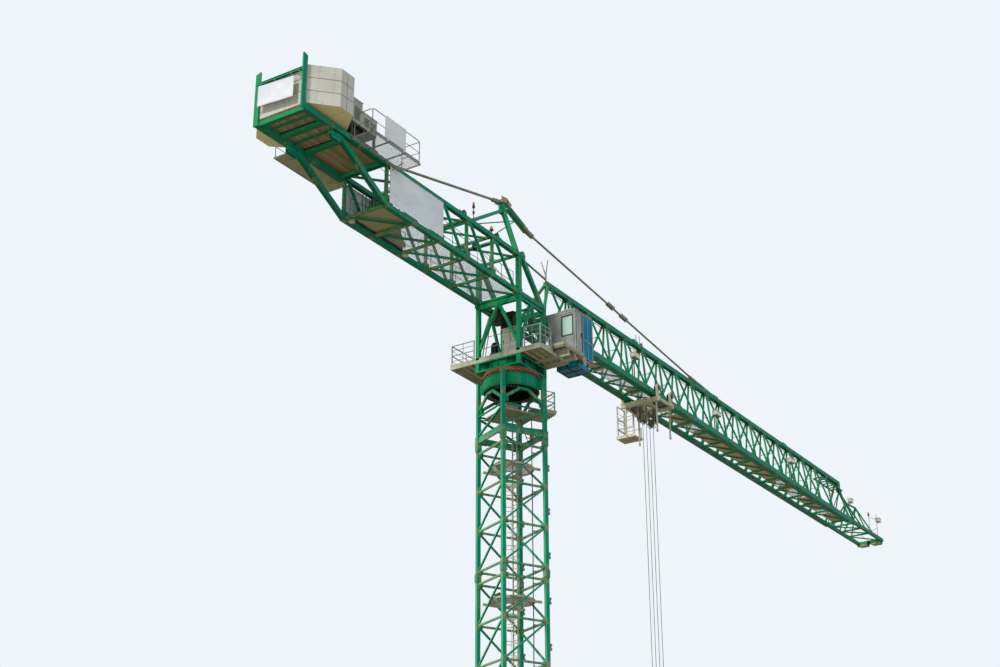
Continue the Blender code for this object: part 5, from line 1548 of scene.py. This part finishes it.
def basket_details(kit):
    # Thick white posts, thin dark chains between them and a plank floor
    white = kit.get("basket_bars", "white", "trolley")
    chains = kit.get("basket_chains", "dark", "trolley")
    x0, x1, y0, y1 = TROLLEY_X + 0.35, TROLLEY_X + 1.17, 1.1, 2.12
    floor = 33.24
    for x, y, top in ((x0, y1, 1.95), (x1, y1, 1.95), (x0, y0, 1.3), (x1, y0, 0.7)):
        put_block(white, x, y, 0.042, 0.042, floor, floor + top)
        put_post(white, x, y, floor + top - 0.03, floor + top + 0.01, 0.055, 8)
    put_box(white, (x0 - 0.05, y0 - 0.09, floor - 0.03), (x0 - 0.03, y1 + 0.05, floor + 0.15))
    put_box(white, (x0 - 0.05, y1 + 0.03, floor - 0.03), (x1 + 0.05, y1 + 0.05, floor + 0.15))
    put_box(white, (x1 + 0.03, y0 - 0.09, floor - 0.03), (x1 + 0.05, y1 + 0.05, floor + 0.1))
    wood = kit.get("basket_planks", "platform_tan", "trolley")
    for step in range(5):
        x = x0 + step * 0.165
        put_box(wood, (x, y0 - 0.06, floor - 0.025), (x + 0.155, y1 + 0.02, floor - 0.005))
    long_side = (x0, y1), (x1, y1), (0.55, 1.05, 1.6)
    short_side = (x0, y0), (x0, y1), (0.55, 1.05)
    for (xa, ya), (xb, yb), rises in (long_side, short_side):
        for rise in rises:
            points = []
            for step in range(7):
                share = step / 6
                sag = 0.05 * math.sin(math.pi * share)
                points.append((xa + (xb - xa) * share, ya + (yb - ya) * share, floor + rise - sag))
            put_tube(chains, points, 0.012)


def falls():
    # The four rope falls, at one fixed length; on the real crane they shorten as the hook rises
    top, low = 33.45, 2.2
    bm = bmesh.new()
    for x in (-0.61, -0.2, 0.2, 0.61):
        points = [(TROLLEY_X + x, 0, low + GAP + (top + 0.25 - low) * step / 24) for step in range(25)]
        put_tube(bm, points, 0.015, 10)
    item = make_object("rope_falls", bm, "rope")
    smooth_round(item.data)
    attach(item, "trolley")
    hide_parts("hoist_ropes")
    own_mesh(item)


def hook_details(kit):
    cream = kit.get("hook_block_plates", "cream", "hook_block")
    dark = kit.get("hook_block_sheaves", "dark", "hook_block")
    pins = kit.get("hook_block_pins", "galvanised", "hook_block")
    for x in (TROLLEY_X - 0.4, TROLLEY_X + 0.4):
        put_sheave(dark, (x, 0, 1.95), 0.22, 0.1)
        for way in (-1, 1):
            put_rod(pins, (x, way * 0.19, 1.95), (x, way * 0.22, 1.95), 0.08, 16)
            put_bolt(pins, (x, way * 0.22, 1.95), (0, way, 0), 0.04)
    for way in (-1, 1):
        put_block(cream, TROLLEY_X, way * 0.195, 0.76, 0.005, 1.64, 2.14)
        for x in (-0.7, -0.2, 0.2, 0.7):
            for z in (1.7, 2.08):
                put_bolt(pins, (TROLLEY_X + x, way * 0.2, z), (0, way, 0), 0.02)


# Signs, left bare

def bent_sheet(name, corner, first, second, cells, ripple):
    corner, first, second = Vector(corner), Vector(first), Vector(second)
    normal = first.cross(second).normalized()
    rng = random.Random(name)
    # Wave numbers along both sides, phase and strength
    limits = ((1.5, 5), (1, 3), (0, 6), (0.4, 1))
    waves = [[rng.uniform(*pair) for pair in limits] for _ in range(5)]
    bm = bmesh.new()
    rows = []
    for j in range(cells[1] + 1):
        row = []
        for i in range(cells[0] + 1):
            u, v = i / cells[0], j / cells[1]
            lift = sum(a * math.sin(k * math.pi * u + m * math.pi * v + p) for k, m, p, a in waves)
            held = min(1.0, 5 * min(u, v, 1 - u, 1 - v) + 0.15)
            row.append(bm.verts.new(corner + first * u + second * v + normal * ripple * lift * held))
        rows.append(row)
    for below, above in zip(rows, rows[1:]):
        for i in range(cells[0]):
            bm.faces.new((below[i], below[i + 1], above[i + 1], above[i]))
    item = make_object(name, bm, "sign")
    for face in item.data.polygons:
        face.use_smooth = True
    modifier = item.modifiers.new("thickness", "SOLIDIFY")
    modifier.thickness = 0.012 * SCALE
    modifier.offset = 0.0
    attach(item, "upper_works")


def make_signs(kit):
    width, up = 4.05, UP * 1.8
    bent_sheet("side_sign", (-11.72, -1.31, 35.53), (width, 0, 0), up, (44, 20), 0.01)
    bent_sheet("far_sign", (-7.7, 1.31, 35.53), (-width, 0, 0), up, (44, 20), 0.01)
    bent_sheet("rail_sign", (-13.69, -2.49, 37.45), (1.48, 0, 0), UP * 1.08, (24, 18), 0.006)
    bent_sheet("rear_sign", (-17.9, 1.06, 37.97), (0, -1.95, -0.14), UP, (26, 14), 0.006)
    ties = kit.get("sign_ties", "rope")
    for way in (-1, 1):
        for step in range(9):
            put_ring(ties, (-11.76, way * 1.27, 35.6 + step * 0.21), UP, 0.05, 0.006, 10, 4)
        for step in range(12):
            for z in (35.53, 37.33):
                put_ring(ties, (-11.6 + step * 0.35, way * 1.29, z), (1, 0, 0), 0.035, 0.005, 10, 4)
    bars = kit.get("rear_sign_frame", "galvanised")
    for z in (38.05, 38.92):
        put_rod(bars, (-17.87, -0.95, z), (-17.87, 1.2, z), 0.018, 6)
    for y in (-0.7, 0.2, 0.95):
        put_post(bars, -17.86, y, 37.95, 39.2, 0.014)
    put_bar(bars, (-17.75, -1.0, 38.95), (-17.75, -1.25, 38.85), 0.05, 0.12, side=(1, 0, 0))
    gusset = kit.get("stop_frame_knee", "plain_green")
    put_bar(gusset, (-17.72, -1.25, 38.9), (-17.72, -0.95, 39.18), 0.03, 0.06, side=(1, 0, 0))
    put_box(gusset, (-17.76, -1.3, 39.25), (-17.66, 1.2, 39.27))


bpy.context.scene.view_settings.view_transform = "Standard"
make_camera()
make_studio()
MATERIALS = make_materials()
paint_nodes(MATERIALS)
kit = Kit()
for details in (mast_details, slew_details, cab_details, counter_details, platform_details, winch_details,
                catwalk_details, apex_details, jib_details, trolley_details, hook_details):
    details(kit)
falls()
make_signs(kit)
PIECES = kit.finish({"turntable_fittings": 0.004, "cab_frames": 0.004})
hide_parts("mast_ladder")
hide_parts("jib_walkway")
for side in ("near", "far"):
    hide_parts(f"catwalk_{side}")
